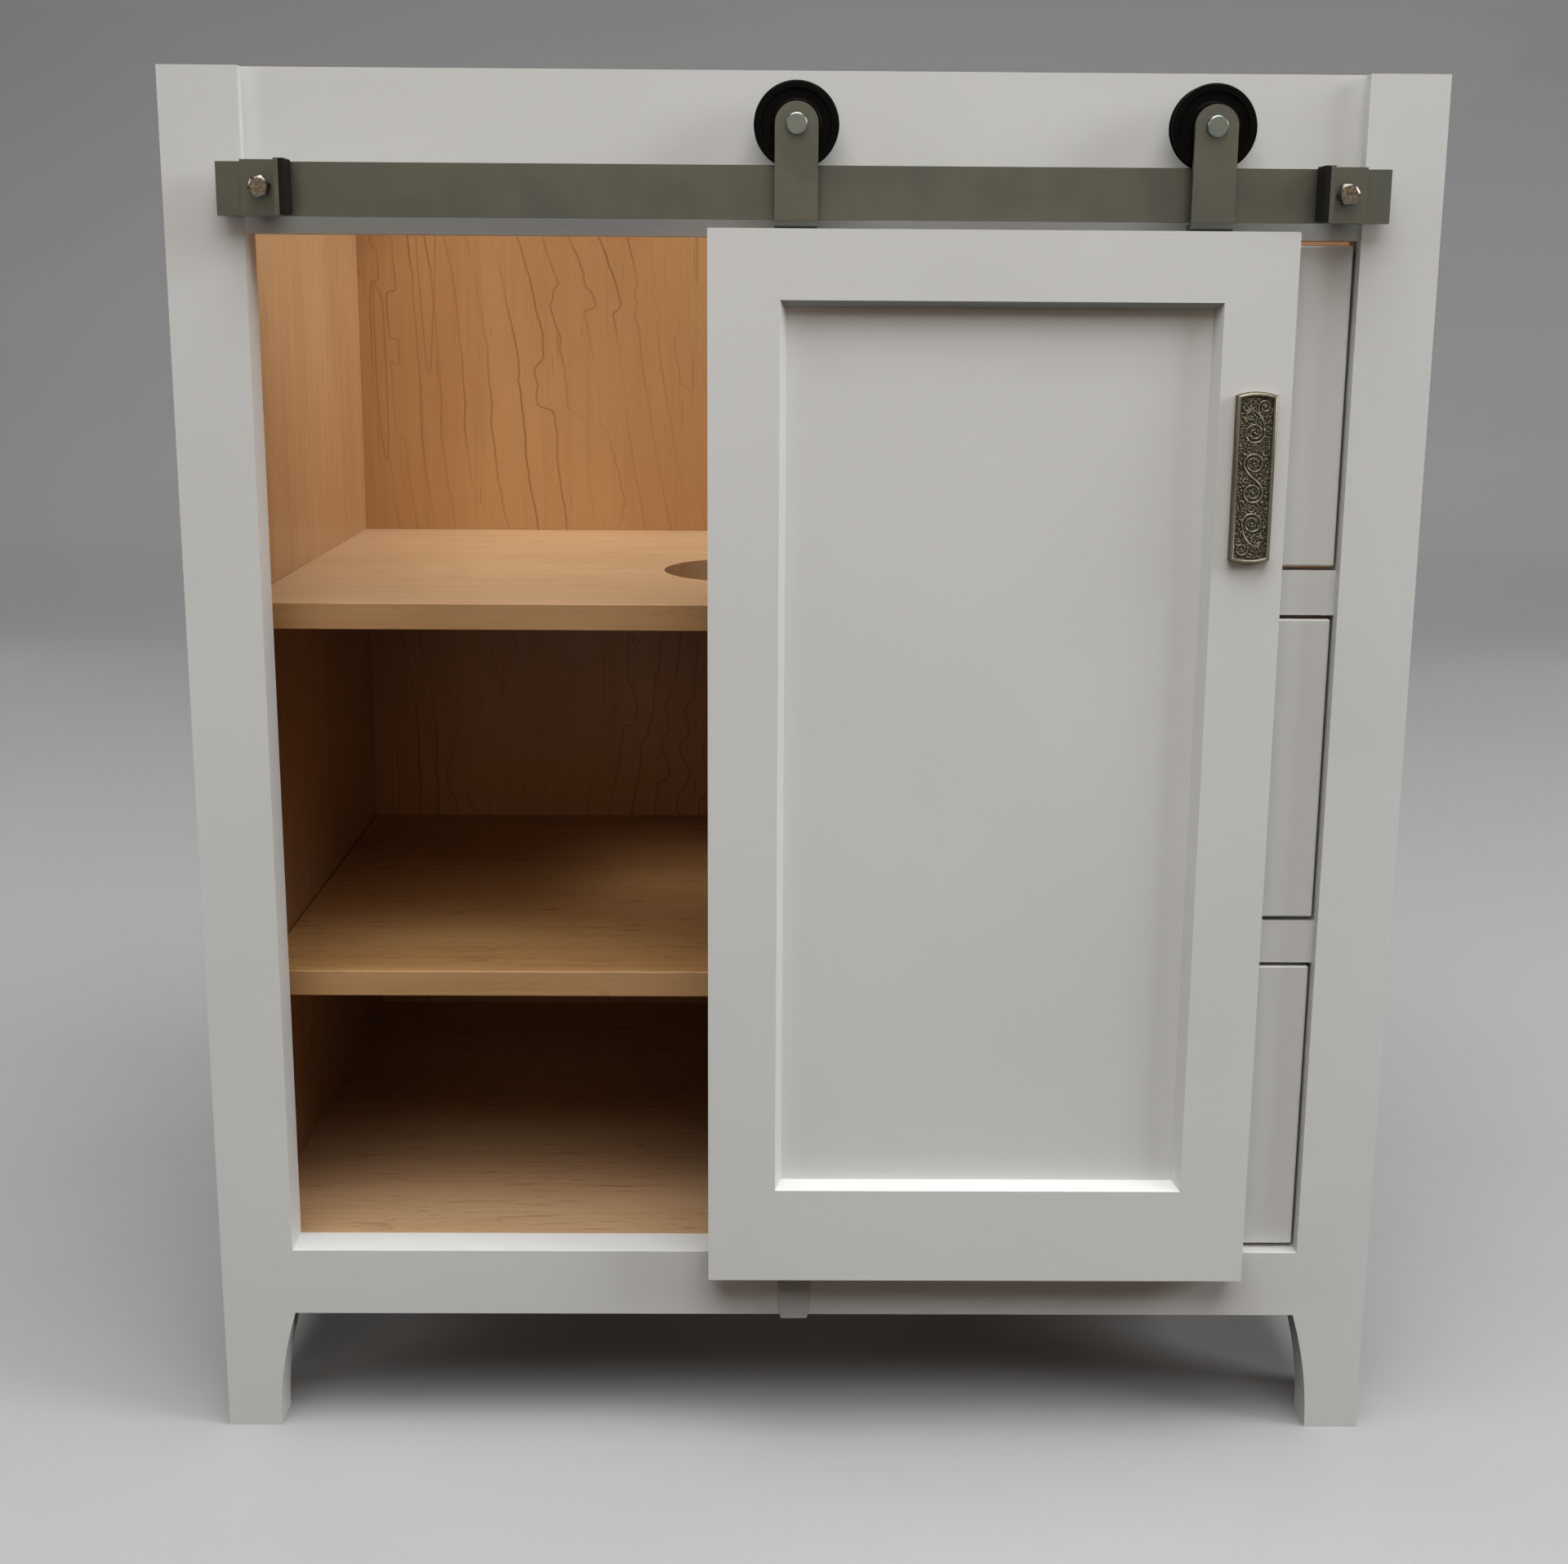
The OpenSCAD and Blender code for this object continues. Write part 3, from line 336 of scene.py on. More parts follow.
FINISHES = {
    "paint upright": satin_paint("satin paint, upright board", (1, 1, 0.05)),
    "paint level": satin_paint("satin paint, level board", (0.05, 1, 1)),
    # The door guide's paint is darker than the rest
    "guide paint": satin_paint("darker paint, door guide", (1, 1, 0.05), GUIDE_DARKER_PAINT),
    "side veneer": maple("maple veneer, sides", "Z", "Y", 3.1, fleck=0.20, tint=SIDE_TINT),
    "painted side": maple("maple veneer, painted outside", "Z", "Y", 3.1, fleck=0.20, tint=SIDE_TINT,
                          painted_from=PAINTED_FROM),
    # The back veneer's tint holds painted shade as well as its own tone
    "back veneer": maple("maple veneer, back", "Z", "X", 11.4, figure=0.5, fleck=0.04, tint=BACK_TINT_AND_SHADE),
    "shelf veneer": maple("maple veneer, shelves", "X", "Y", 7.7, fleck=0.42, coat=0.4, tint=SHELF_TINT),
    # The lower shelf's tint is painted shade
    "lower shelf veneer": maple("maple veneer, lower shelf", "X", "Y", 4.9, fleck=0.5,
                                tint=LOWER_SHELF_SHADE_TINT),
    "edging": maple("maple edging", "X", "Z", 19.3, fleck=0.15, tint=EDGING_TINT),
    "drawer wood": maple("maple, drawer sides", "Y", "Z", 23.9, fleck=0.2),
    "track": metal("grey track steel", TRACK_GREY, 0.50, 26, (1, 1, 1), 1600, 0.00003),
    "turned zinc": metal("turned zinc", ZINC, 0.38, 90, (1, 1, 1), 2400, 0.00001),
    "forged steel": metal("forged steel", FORGED_STEEL, 0.28, 520, (1, 1, 1), 620, 0.00018, dull=0.55),
    "runner": metal("zinc-plated sheet", PLATED_SHEET, 0.36, 40, (1, 0.02, 1), 900, 0.00002),
    "wheel": moulded("black nylon", NYLON, 0.40, 0.10, 2200, 0.00001),
    "rubber": moulded("black rubber", RUBBER, 0.66, 0.16, 1200, 0.00005),
    "pewter": cast_pewter(),
}

WEAR = {
    "paint upright": ["left_post", "right_post", "centre_stile", "door_left_stile", "door_right_stile",
                      "door_panel"],
    "guide paint": ["door_guide"],
    "paint level": ["top_rail", "bottom_rail", "drawer_rail_upper", "drawer_rail_lower", "false_front",
                    "door_top_rail", "door_bottom_rail", "middle_drawer_front", "lower_drawer_front"],
    "side veneer": ["partition"],
    "painted side": ["left_side_panel", "right_side_panel"],
    "back veneer": ["back_panel"],
    "shelf veneer": ["upper_shelf", "floor_panel", "back_nailer", "corner_blocks", "false_front_battens"],
    "lower shelf veneer": ["lower_shelf"],
    "edging": ["upper_shelf_edging", "lower_shelf_edging"],
    "drawer wood": ["runner_packing", "middle_drawer_sides", "middle_drawer_ends",
                    "middle_drawer_bottom", "lower_drawer_sides", "lower_drawer_ends",
                    "lower_drawer_bottom"],
    "track": ["track_bar", "track_sleeves", "left_stop", "right_stop", "left_hanger", "right_hanger"],
    "turned zinc": ["shelf_pins", "guide_screws", "pull_screws", "hanger_screws", "wheel_axles",
                    "axle_spacers", "left_bearing", "right_bearing"],
    "forged steel": ["track_bolts"],
    "runner": ["middle_runners", "lower_runners", "middle_drawer_runners", "lower_drawer_runners"],
    "wheel": ["left_wheel", "right_wheel"],
    "rubber": ["stop_pads"],
    "pewter": ["pull"],
}

# Radius in millimetres by which each piece's edges are broken, where it isn't the usual one
USUAL_EDGE = 0.7
EDGES = {
    "face_frame": 1.3, "door_frame": 0.9, "door_panel": 0.3, "door_guide": 0.8,
    "false_front": 1.5, "middle_drawer_front": 1.5, "lower_drawer_front": 1.5,
    "back_panel": 0.2, "floor_panel": 0.2, "upper_shelf": 0.3, "lower_shelf": 0.3,
    "upper_shelf_edging": 0.8, "lower_shelf_edging": 0.8, "shelf_pins": 0.3,
    "left_stop": 0.35, "right_stop": 0.35, "stop_pads": 0.5, "hex_bolts": 0.12, "track_sleeves": 0.4,
    "left_hanger": 0.8, "right_hanger": 0.8, "wheel_axles": 0.8, "axle_spacers": 0.2,
    "left_wheel": 0.4, "right_wheel": 0.4, "left_bearing": 0.3, "right_bearing": 0.3,
    "guide_screws": 0.2, "pull_screws": 0.2, "hanger_screws": 0.2,
    "middle_runners": 0.3, "lower_runners": 0.3, "middle_drawer_runners": 0.3,
    "lower_drawer_runners": 0.3,
}


def smoother():
    """Node group that makes a mesh shade smoothly, so that broken edges look round."""
    group = bpy.data.node_groups.new("smooth shading", "GeometryNodeTree")
    group.interface.new_socket("Geometry", in_out="INPUT", socket_type="NodeSocketGeometry")
    group.interface.new_socket("Geometry", in_out="OUTPUT", socket_type="NodeSocketGeometry")
    start = group.nodes.new("NodeGroupInput")
    smooth = group.nodes.new("GeometryNodeSetShadeSmooth")
    end = group.nodes.new("NodeGroupOutput")
    group.links.new(start.outputs[0], smooth.inputs["Geometry"])
    group.links.new(smooth.outputs["Geometry"], end.inputs[0])
    return group


SMOOTHER = smoother()


def break_edges(piece, radius):
    """Rounds the edges of a piece by a radius in millimetres."""
    weld = piece.modifiers.new("weld", "WELD")
    weld.merge_threshold = SAME_POINT
    join = piece.modifiers.new("join flats", "DECIMATE")
    join.decimate_type = "DISSOLVE"
    join.angle_limit = FLAT
    edge = piece.modifiers.new("broken edges", "BEVEL")
    edge.width = radius * MM
    edge.segments = 3
    edge.limit_method = "ANGLE"
    edge.angle_limit = math.radians(28)
    edge.use_clamp_overlap = True
    edge.harden_normals = False
    smooth = piece.modifiers.new("smooth", "NODES")
    smooth.node_group = SMOOTHER
    weighted = piece.modifiers.new("flat faces", "WEIGHTED_NORMAL")
    weighted.weight = 80
    weighted.keep_sharp = False


def dress_nodes():
    """Gives every CAD piece its finish and its broken edges."""
    for finish, names in WEAR.items():
        for name in names:
            piece = nodes[name]
            piece.data.materials.clear()
            piece.data.materials.append(FINISHES[finish])
            break_edges(piece, EDGES.get(name, USUAL_EDGE))


def into_scene(name, data):
    """Puts a mesh, a lamp or a lens into the scene as an object of its own."""
    thing = bpy.data.objects.new(name, data)
    bpy.context.scene.collection.objects.link(thing)
    return thing


def made(name, shape):
    """Turns a bmesh into an object of the scene. The bmesh is used up."""
    mesh = bpy.data.meshes.new(name)
    shape.to_mesh(mesh)
    shape.free()
    return into_scene(name, mesh)


def new_verts(result, key):
    """The vertices among what a bmesh operator returns."""
    return [g for g in result[key] if isinstance(g, bmesh.types.BMVert)]


def clean_copy(name):
    """A copy of a CAD piece with its loose triangles joined into whole faces."""
    shape = bmesh.new()
    shape.from_mesh(nodes[name].data)
    bmesh.ops.remove_doubles(shape, verts=shape.verts, dist=SAME_POINT)
    bmesh.ops.dissolve_limit(shape, angle_limit=FLAT, verts=shape.verts, edges=shape.edges)
    return made(name + " copy", shape)


def combined_mesh(name, operation, first, *others):
    """One mesh of several shapes, glued by UNION or cut back by INTERSECT. The shapes are used up."""
    for other in others:
        step = first.modifiers.new("combine", "BOOLEAN")
        step.operation = operation
        step.solver = "EXACT"
        step.object = other
    whole = first.evaluated_get(bpy.context.evaluated_depsgraph_get())
    mesh = bpy.data.meshes.new_from_object(whole)
    for shape in (first, *others):
        bpy.data.objects.remove(shape)
    mesh.materials.clear()
    mesh.name = name
    return mesh


def lengthened(rail, lap):
    """Lets a rail run into its posts by a lap in millimetres, so that glueing leaves no crack."""
    places = [v.co.x for v in rail.data.vertices]
    left, right = min(places), max(places)
    to_middle = Matrix.Translation(((left + right) / 2, 0, 0))
    longer = Matrix.Scale(1 + 2 * lap * MM / (right - left), 4, (1, 0, 0))
    rail.data.transform(to_middle @ longer @ to_middle.inverted())
    return rail


def painted_as_one(name, posts, rails, body, lap=0.0):
    """Joins glued boards under one coat of paint, so that no joint line shows."""
    parts = posts + rails
    boards = [clean_copy(post) for post in posts]
    boards += [lengthened(clean_copy(rail), lap) for rail in rails]
    piece = into_scene(name, combined_mesh(name, "UNION", *boards))
    piece.data.materials.append(FINISHES["paint upright"])
    break_edges(piece, EDGES[name])
    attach(piece, body)
    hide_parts(*parts)


# The bolts that hold the stops and the track

# Size of a hex head as a share of the solid's, and turn in degrees of the left (-1) and right (1) one
HEAD_SHRINK = 0.9
HEAD_TURN = {-1: 0, 1: -17}
# In millimetres: depth of a head, least reach of its corners, and radius of its round flat face
HEAD_DEPTH = 6.0
CORNER_REACH = 6.0
HEAD_FACE = 4.9
# Millimetres outwards for each millimetre back on the coned edge
CHAMFER_SLOPE = 1.732


def add_turned_bar(shape, x, front, z):
    """Adds a round bar with a coned end, to which a hex head is cut back. Its sizes are in millimetres."""
    ahead = 1.0
    behind = 3.0
    length = 80.0
    widest = HEAD_FACE + behind * CHAMFER_SLOPE
    profile = [(HEAD_FACE - ahead * CHAMFER_SLOPE, -ahead), (widest, behind), (widest, length)]
    verts = [shape.verts.new((x + radius * MM, front + depth * MM, z)) for radius, depth in profile]
    edges = [shape.edges.new(pair) for pair in zip(verts, verts[1:])]
    bmesh.ops.spin(shape, geom=verts + edges, cent=(x, front, z), axis=(0, 1, 0),
                   angle=FULL_TURN, steps=72, use_merge=True)


def resized_head(shape, side, front):
    """Shrinks and turns the hex head on one side of the middle. Returns the middle of its face."""
    near = [v for v in shape.verts if v.co.x * side > 0 and v.co.y < front + HEAD_DEPTH * MM]
    face = [v.co for v in near if v.co.y < front + 0.1 * MM]
    axis = sum(face, Vector()) / len(face)
    corners = [v for v in near if math.hypot(v.co.x - axis.x, v.co.z - axis.z) > CORNER_REACH * MM]
    shrink = (HEAD_SHRINK, 1, HEAD_SHRINK)
    turn = Matrix.Rotation(math.radians(HEAD_TURN[side]), 3, "Y")
    bmesh.ops.scale(shape, vec=shrink, space=Matrix.Translation(-axis), verts=corners)
    bmesh.ops.rotate(shape, cent=axis, matrix=turn, verts=corners)
    return axis


def hex_bolts():
    """Track bolts whose heads have the coned edge and round flat face of turned hex heads."""
    bolts = clean_copy("track_bolts")
    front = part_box("track_bolts")[0].y
    shape = bmesh.new()
    shape.from_mesh(bolts.data)
    bars = bmesh.new()
    for side in HEAD_TURN:
        axis = resized_head(shape, side, front)
        add_turned_bar(bars, axis.x, front, axis.z)
    shape.to_mesh(bolts.data)
    shape.free()
    bmesh.ops.remove_doubles(bars, verts=bars.verts, dist=SAME_POINT)
    bmesh.ops.holes_fill(bars, edges=[e for e in bars.edges if e.is_boundary], sides=0)
    bmesh.ops.recalc_face_normals(bars, faces=bars.faces)
    limit = made("turned bars", bars)
    piece = into_scene("hex_bolts", combined_mesh("hex_bolts", "INTERSECT", bolts, limit))
    piece.data.materials.append(FINISHES["forged steel"])
    break_edges(piece, EDGES["hex_bolts"])
    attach(piece, "cabinet")
    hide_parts("track_bolts")


# The cast pull

STEM_POINTS = 60
FROND_POINTS = 26
CURL_POINTS_PER_TURN = 90


def swell(count, widest, ends):
    """Radii along a stroke that is thin at its ends and widest in the middle."""
    t = np.linspace(0, 1, count)
    return widest * (ends + (1 - ends) * np.sin(np.pi * t))


def curl(u, v, outer, inner, start, turns, thick, hand=1):
    """A scroll that winds inwards round (u, v) from the start angle. Sizes in millimetres."""
    t = np.linspace(0, 1, int(CURL_POINTS_PER_TURN * abs(turns)))
    r = outer + (inner - outer) * t ** 1.5
    a = math.radians(start) + hand * 2 * np.pi * turns * t
    return np.stack([u + r * np.cos(a), v + r * np.sin(a), thick * (1.0 - 0.35 * t)], axis=1)


def stem(points, thick, ends=0.6):
    """A smooth stalk through four guide points."""
    p = np.array(points, float)
    t = np.linspace(0, 1, STEM_POINTS)[:, None]
    path = (1 - t) ** 3 * p[0] + 3 * (1 - t) ** 2 * t * p[1] + 3 * (1 - t) * t ** 2 * p[2] + t ** 3 * p[3]
    return np.column_stack([path, swell(STEM_POINTS, thick, ends)])


def frond(u, v, direction, length, thick, bend=0.0):
    """One finger of a leaf, which grows from (u, v) and bends by an angle in degrees."""
    t = np.linspace(0, 1, FROND_POINTS)
    a = np.radians(direction + bend * t)
    step = length / FROND_POINTS
    radii = thick * (0.35 + 0.65 * np.sin(np.pi * np.minimum(t * 1.15 + 0.05, 1)))
    return np.column_stack([u + np.cumsum(np.cos(a)) * step, v + np.cumsum(np.sin(a)) * step, radii])


def bead(u, v, r):
    """A half-round bead of radius r at (u, v)."""
    return np.array([[u, v, r]])


def leaf(u, v, direction, fingers, length, opening, thick):
    """A fluted leaf: several fingers that spread from one place over an opening in degrees."""
    turns = np.linspace(-opening / 2, opening / 2, fingers)
    return [frond(u, v, direction + turn, length * (1 - abs(turn) / opening * 0.5), thick, turn * 0.6)
            for turn in turns]


def fan(u, v, radius, first, last, count, length, thick, bend=0.0):
    """Short bars that point away from (u, v), evenly set between two angles."""
    bars = []
    for turn in np.linspace(first, last, count):
        foot_u = u + radius * math.cos(math.radians(turn))
        foot_v = v + radius * math.sin(math.radians(turn))
        bars.append(frond(foot_u, foot_v, turn, length, thick, bend))
    return bars


def bead_row(u, v, radius, first, last, count, size):
    """Beads set along an arc round (u, v)."""
    turns = np.radians(np.linspace(first, last, count))
    return [bead(u + radius * math.cos(turn), v + radius * math.sin(turn), size) for turn in turns]


# Middles of the rings in the upper half, in millimetres, and of the big rings in both halves
UPPER_RING = (-0.6, 27.0)
LOWER_RING = (0.0, 8.7)
SMALL_RING = (4.9, 42.4)
BIG_RINGS = np.array([UPPER_RING, LOWER_RING, [-c for c in LOWER_RING], [-c for c in UPPER_RING]])


def scrollwork():
    """Half of the running scroll. The other half is the same, turned round the middle."""
    strokes = [
        curl(*UPPER_RING, 6.1, 1.5, 20, 1.80, 0.85, -1),
        curl(*LOWER_RING, 6.0, 1.5, 215, 1.80, 0.85, -1),
        curl(*SMALL_RING, 3.8, 0.9, 190, 1.40, 0.78, -1),
        curl(-6.4, 45.2, 2.4, 0.8, -40, 1.20, 0.60),
        curl(0.5, 17.9, 2.3, 0.7, 200, 1.15, 0.66, -1),
        stem([(0.0, 0.0), (-1.9, 1.4), (-4.0, 3.2), (-4.9, 5.3)], 0.86, 0.95),
        stem([(-3.4, 40.8), (1.0, 39.6), (4.8, 35.4), (5.1, 29.1)], 0.88, 0.5),
        stem([(3.6, 35.0), (1.8, 36.6), (1.0, 39.4), (1.2, 41.8)], 0.74, 0.7),
        stem([(-8.7, 23.4), (-5.4, 20.8), (-5.4, 15.2), (-8.7, 12.6)], 0.55, 0.5),
        stem([(8.7, 23.4), (5.9, 20.8), (5.9, 15.2), (8.7, 12.6)], 0.55, 0.5),
        bead(*UPPER_RING, 0.95), bead(*LOWER_RING, 0.95), bead(*SMALL_RING, 0.85), bead(-6.0, 14.2, 1.05),
        bead(5.6, 14.0, 0.95), bead(7.3, 27.6, 0.85), bead(6.0, 24.9, 0.85), bead(-8.0, 29.6, 0.80),
        bead(-7.4, 35.6, 0.80), bead(-1.0, 37.4, 0.80), bead(8.2, 36.4, 0.75), bead(-2.9, 14.9, 0.80),
        bead(3.1, 21.0, 0.75), bead(-2.2, 20.6, 0.70), bead(8.4, 47.0, 0.7), bead(-8.2, 8.4, 0.8),
    ]
    strokes += bead_row(*UPPER_RING, 3.6, 215, 330, 4, 0.68)
    strokes += bead_row(*LOWER_RING, 3.5, 35, 150, 4, 0.68)
    strokes += bead_row(*LOWER_RING, 7.3, -78, -12, 4, 0.78)
    strokes += fan(*UPPER_RING, 1.6, 30, 200, 4, 1.8, 0.55, 40)
    strokes += fan(*LOWER_RING, 1.6, 200, 370, 4, 1.8, 0.55, 40)
    strokes += fan(*UPPER_RING, 7.6, 24, 74, 4, 2.1, 0.64)
    strokes += fan(*UPPER_RING, 7.6, 112, 168, 4, 1.8, 0.62)
    strokes += fan(*UPPER_RING, 7.5, 196, 250, 4, 1.7, 0.60)
    strokes += fan(-8.9, 18.0, 4.6, -44, 44, 5, 2.3, 0.56)
    strokes += fan(9.1, 18.0, 4.5, 136, 224, 5, 2.3, 0.56)
    strokes += fan(*LOWER_RING, 7.5, 140, 196, 4, 1.7, 0.60)
    strokes += fan(*LOWER_RING, 7.5, 2, 52, 4, 1.8, 0.60)
    strokes += fan(*SMALL_RING, 1.4, -60, 100, 4, 1.4, 0.46, -30)
    strokes += leaf(-3.2, 39.0, 128, 5, 6.6, 110, 0.74)
    strokes += leaf(-4.6, 34.4, 160, 4, 4.4, 100, 0.62)
    strokes += leaf(0.6, 46.6, 100, 4, 2.8, 120, 0.56)
    strokes += leaf(-6.6, 2.6, 196, 4, 3.0, 130, 0.56)
    return strokes


def small_leaves(half_u, half_v):
    """Short curved bars and beads, at seeded places, that fan out from the rings and fill the ground."""
    rng = np.random.default_rng(29)
    margin = 0.7
    spacing = 1.45
    strokes = []
    for u in np.arange(-half_u + margin, half_u, spacing):
        for v in np.arange(-half_v + margin, half_v, spacing):
            spot = np.array([u, v]) + rng.uniform(-0.3, 0.3, 2)
            if rng.random() < 0.30:
                strokes.append(bead(*spot, rng.uniform(0.55, 0.78)))
                continue
            nearest = BIG_RINGS[np.argmin(((BIG_RINGS - spot) ** 2).sum(axis=1))]
            off = spot - nearest
            outward = math.degrees(math.atan2(off[1], off[0]))
            strokes.append(frond(*spot, outward + rng.uniform(-35, 35), rng.uniform(1.5, 2.4),
                                 rng.uniform(0.50, 0.64), rng.choice([-90, 90])))
    return strokes


def lifted(height, u, v, stroke):
    """Raises the ground to the round back of one stroke."""
    reach = stroke[:, 2].max()
    near = ((u > stroke[:, 0].min() - reach) & (u < stroke[:, 0].max() + reach)
            & (v > stroke[:, 1].min() - reach) & (v < stroke[:, 1].max() + reach))
    spots = np.flatnonzero(near)
    gap = (u[spots, None] - stroke[None, :, 0]) ** 2 + (v[spots, None] - stroke[None, :, 1]) ** 2
    lift = np.sqrt(np.maximum(stroke[None, :, 2] ** 2 - gap, 0)).max(axis=1)
    height[spots] = np.maximum(height[spots], lift)


def relief_height(u, v, half_u, half_v):
    """Height of the cast ornament over its ground at each place, in millimetres."""
    moat_width = 0.18
    filling_share = 0.92
    height, moat, filling = np.zeros((3, len(u)))
    for stroke in scrollwork():
        for half in (1, -1):
            turned = stroke * (half, half, 1)
            lifted(height, u, v, turned)
            lifted(moat, u, v, turned + (0, 0, moat_width))
    for stroke in small_leaves(half_u, half_v):
        lifted(filling, u, v, stroke)
    filling[moat > 0] = 0
    return np.maximum(height, filling_share * filling)


def finished(shape, name, finish, body, smooth_angle):
    """Turns a bmesh into a piece of the unit with its finish, riding on its body."""
    piece = made(name, shape)
    piece.data.shade_smooth()
    piece.data.set_sharp_from_angle(angle=math.radians(smooth_angle))
    piece.data.materials.append(FINISHES[finish])
    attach(piece, body)
    return piece


def paint_wear(piece, values):
    """Stores how far each point of a piece is rubbed bright."""
    worn = piece.data.attributes.new("worn", "FLOAT", "POINT")
    worn.data.foreach_set("value", np.asarray(values, np.float32))


# Cross-section of the rim in millimetres: margin from the outline, and drop behind the front
PULL_RIM = [(0.0, 6.0), (0.0, 2.1), (0.10, 1.50), (0.34, 0.94), (0.68, 0.48), (1.06, 0.18), (1.45, 0.03),
            (1.80, 0.0), (2.12, 0.20), (2.42, 0.54), (2.66, 1.0), (2.85, 1.6), (3.0, 2.4)]
# Rise of the arched ends in millimetres, and the number of straight steps in each
PULL_ARCH = 2.2
ARCH_STEPS = 22
# In millimetres: margins of the sunk ground, its drop, its grid, and the depth of its hidden skirt
GROUND_MARGIN_U = 2.75
GROUND_MARGIN_V = 3.0
GROUND_DROP = 2.1
GROUND_STEP = 0.19
SKIRT_DEPTH = 0.6
RELIEF_GAIN = 1.25


def arched_ring(shape, width, height, margin, y):
    """A closed loop of edges: the pull's arched outline, drawn in by a margin, at one depth."""
    radius = (width * width / 4 + PULL_ARCH * PULL_ARCH) / (2 * PULL_ARCH)
    half = width / 2 - margin
    reach = math.asin(half / (radius - margin))
    loop, ends = [], []
    for end in (1, -1):
        centre = Vector((0, y, end * (height / 2 - radius))) * MM
        offset = Vector((half, 0, (radius - margin) * math.cos(reach))) * MM * end
        corner = shape.verts.new(centre + offset)
        arc = bmesh.ops.spin(shape, geom=[corner], cent=centre, axis=(0, -1, 0), angle=2 * reach,
                             steps=ARCH_STEPS)
        ends += [corner, *new_verts(arc, "geom_last")]
    shape.edges.new((ends[1], ends[2]))
    shape.edges.new((ends[3], ends[0]))
    start = ends[0]
    while True:
        edge = next((e for e in start.link_edges if e not in loop), None)
        if edge is None:
            return loop
        loop.append(edge)
        start = edge.other_vert(start)


def pull_plate(front, width, height):
    """Plate of the pull: a rounded rim round a sunk ground. Front is the middle of its front plane."""
    side_drop = 2.6
    shape = bmesh.new()
    rings = [arched_ring(shape, width, height, margin, drop) for margin, drop in PULL_RIM]
    for outer, inner in zip(rings, rings[1:]):
        bmesh.ops.bridge_loops(shape, edges=outer + inner)
    bmesh.ops.contextual_create(shape, geom=rings[0])
    bmesh.ops.contextual_create(shape, geom=rings[-1])
    bmesh.ops.recalc_face_normals(shape, faces=shape.faces)
    bmesh.ops.translate(shape, verts=shape.verts, vec=front)
    drops = [(v.co.y - front.y) / MM for v in shape.verts]
    plate = finished(shape, "pull_plate", "pewter", "door", 50)
    paint_wear(plate, [0.72 if drop > side_drop else max(0.40, 0.70 - 0.20 * drop) for drop in drops])
    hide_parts("pull")


def pull_scrollwork(front, width, height):
    """Sunk ground of the pull, raised to the scrollwork, with a skirt that closes it below."""
    ground = bmesh.new()
    half_u = width / 2 - GROUND_MARGIN_U
    half_v = height / 2 - GROUND_MARGIN_V
    columns = int(2 * half_u / GROUND_STEP)
    rows = int(2 * half_v / GROUND_STEP)
    bmesh.ops.create_grid(ground, x_segments=columns, y_segments=rows, size=1)
    bmesh.ops.scale(ground, vec=(half_u, half_v, 1), verts=ground.verts)
    place = np.array([v.co[:] for v in ground.verts])
    lift = relief_height(place[:, 0], place[:, 1], half_u, half_v)
    edge = bmesh.ops.extrude_edge_only(ground, edges=[e for e in ground.edges if e.is_boundary])
    skirt = new_verts(edge, "geom")
    for vert, h in zip(list(ground.verts), lift):
        vert.co.z = h * RELIEF_GAIN
    bmesh.ops.translate(ground, verts=skirt, vec=(0, 0, -SKIRT_DEPTH))
    bmesh.ops.contextual_create(ground, geom=[e for e in ground.edges if e.is_boundary])
    bmesh.ops.recalc_face_normals(ground, faces=ground.faces)
    to_ground = Matrix.Translation((front.x, front.y + GROUND_DROP * MM, front.z))
    upright = Matrix.Rotation(QUARTER_TURN, 4, "X")
    bmesh.ops.transform(ground, matrix=to_ground @ upright @ Matrix.Scale(MM, 4), verts=ground.verts)
    full_lift = 0.75
    worn = np.zeros(len(ground.verts))
    worn[:len(lift)] = 0.28 + 0.40 * np.clip(lift / full_lift, 0, 1) ** 0.8
    ornament = finished(ground, "pull_scrollwork", "pewter", "door", 80)
    paint_wear(ornament, worn)


def cast_pull():
    """Pull plate and its scrollwork, where the plain pull of the solids is."""
    low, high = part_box("pull")
    middle = (low + high) / 2
    front = Vector((middle.x, low.y, middle.z))
    width = (high.x - low.x) / MM
    height = (high.z - low.z) / MM
    pull_plate(front, width, height)
    pull_scrollwork(front, width, height)


# Stage

# In metres: the floor's half sizes and shift, the backdrop's bend and rise, and the cove behind the camera
FLOOR_HALF_WIDTH = 6
FLOOR_HALF_DEPTH = 4
FLOOR_SHIFT = -1.2
BEND_RADIUS = 1.5
BACKDROP_RISE = 6
COVE_RADIUS = 6.4
COVE_DROP = 0.004
COVE_HEIGHT = 9


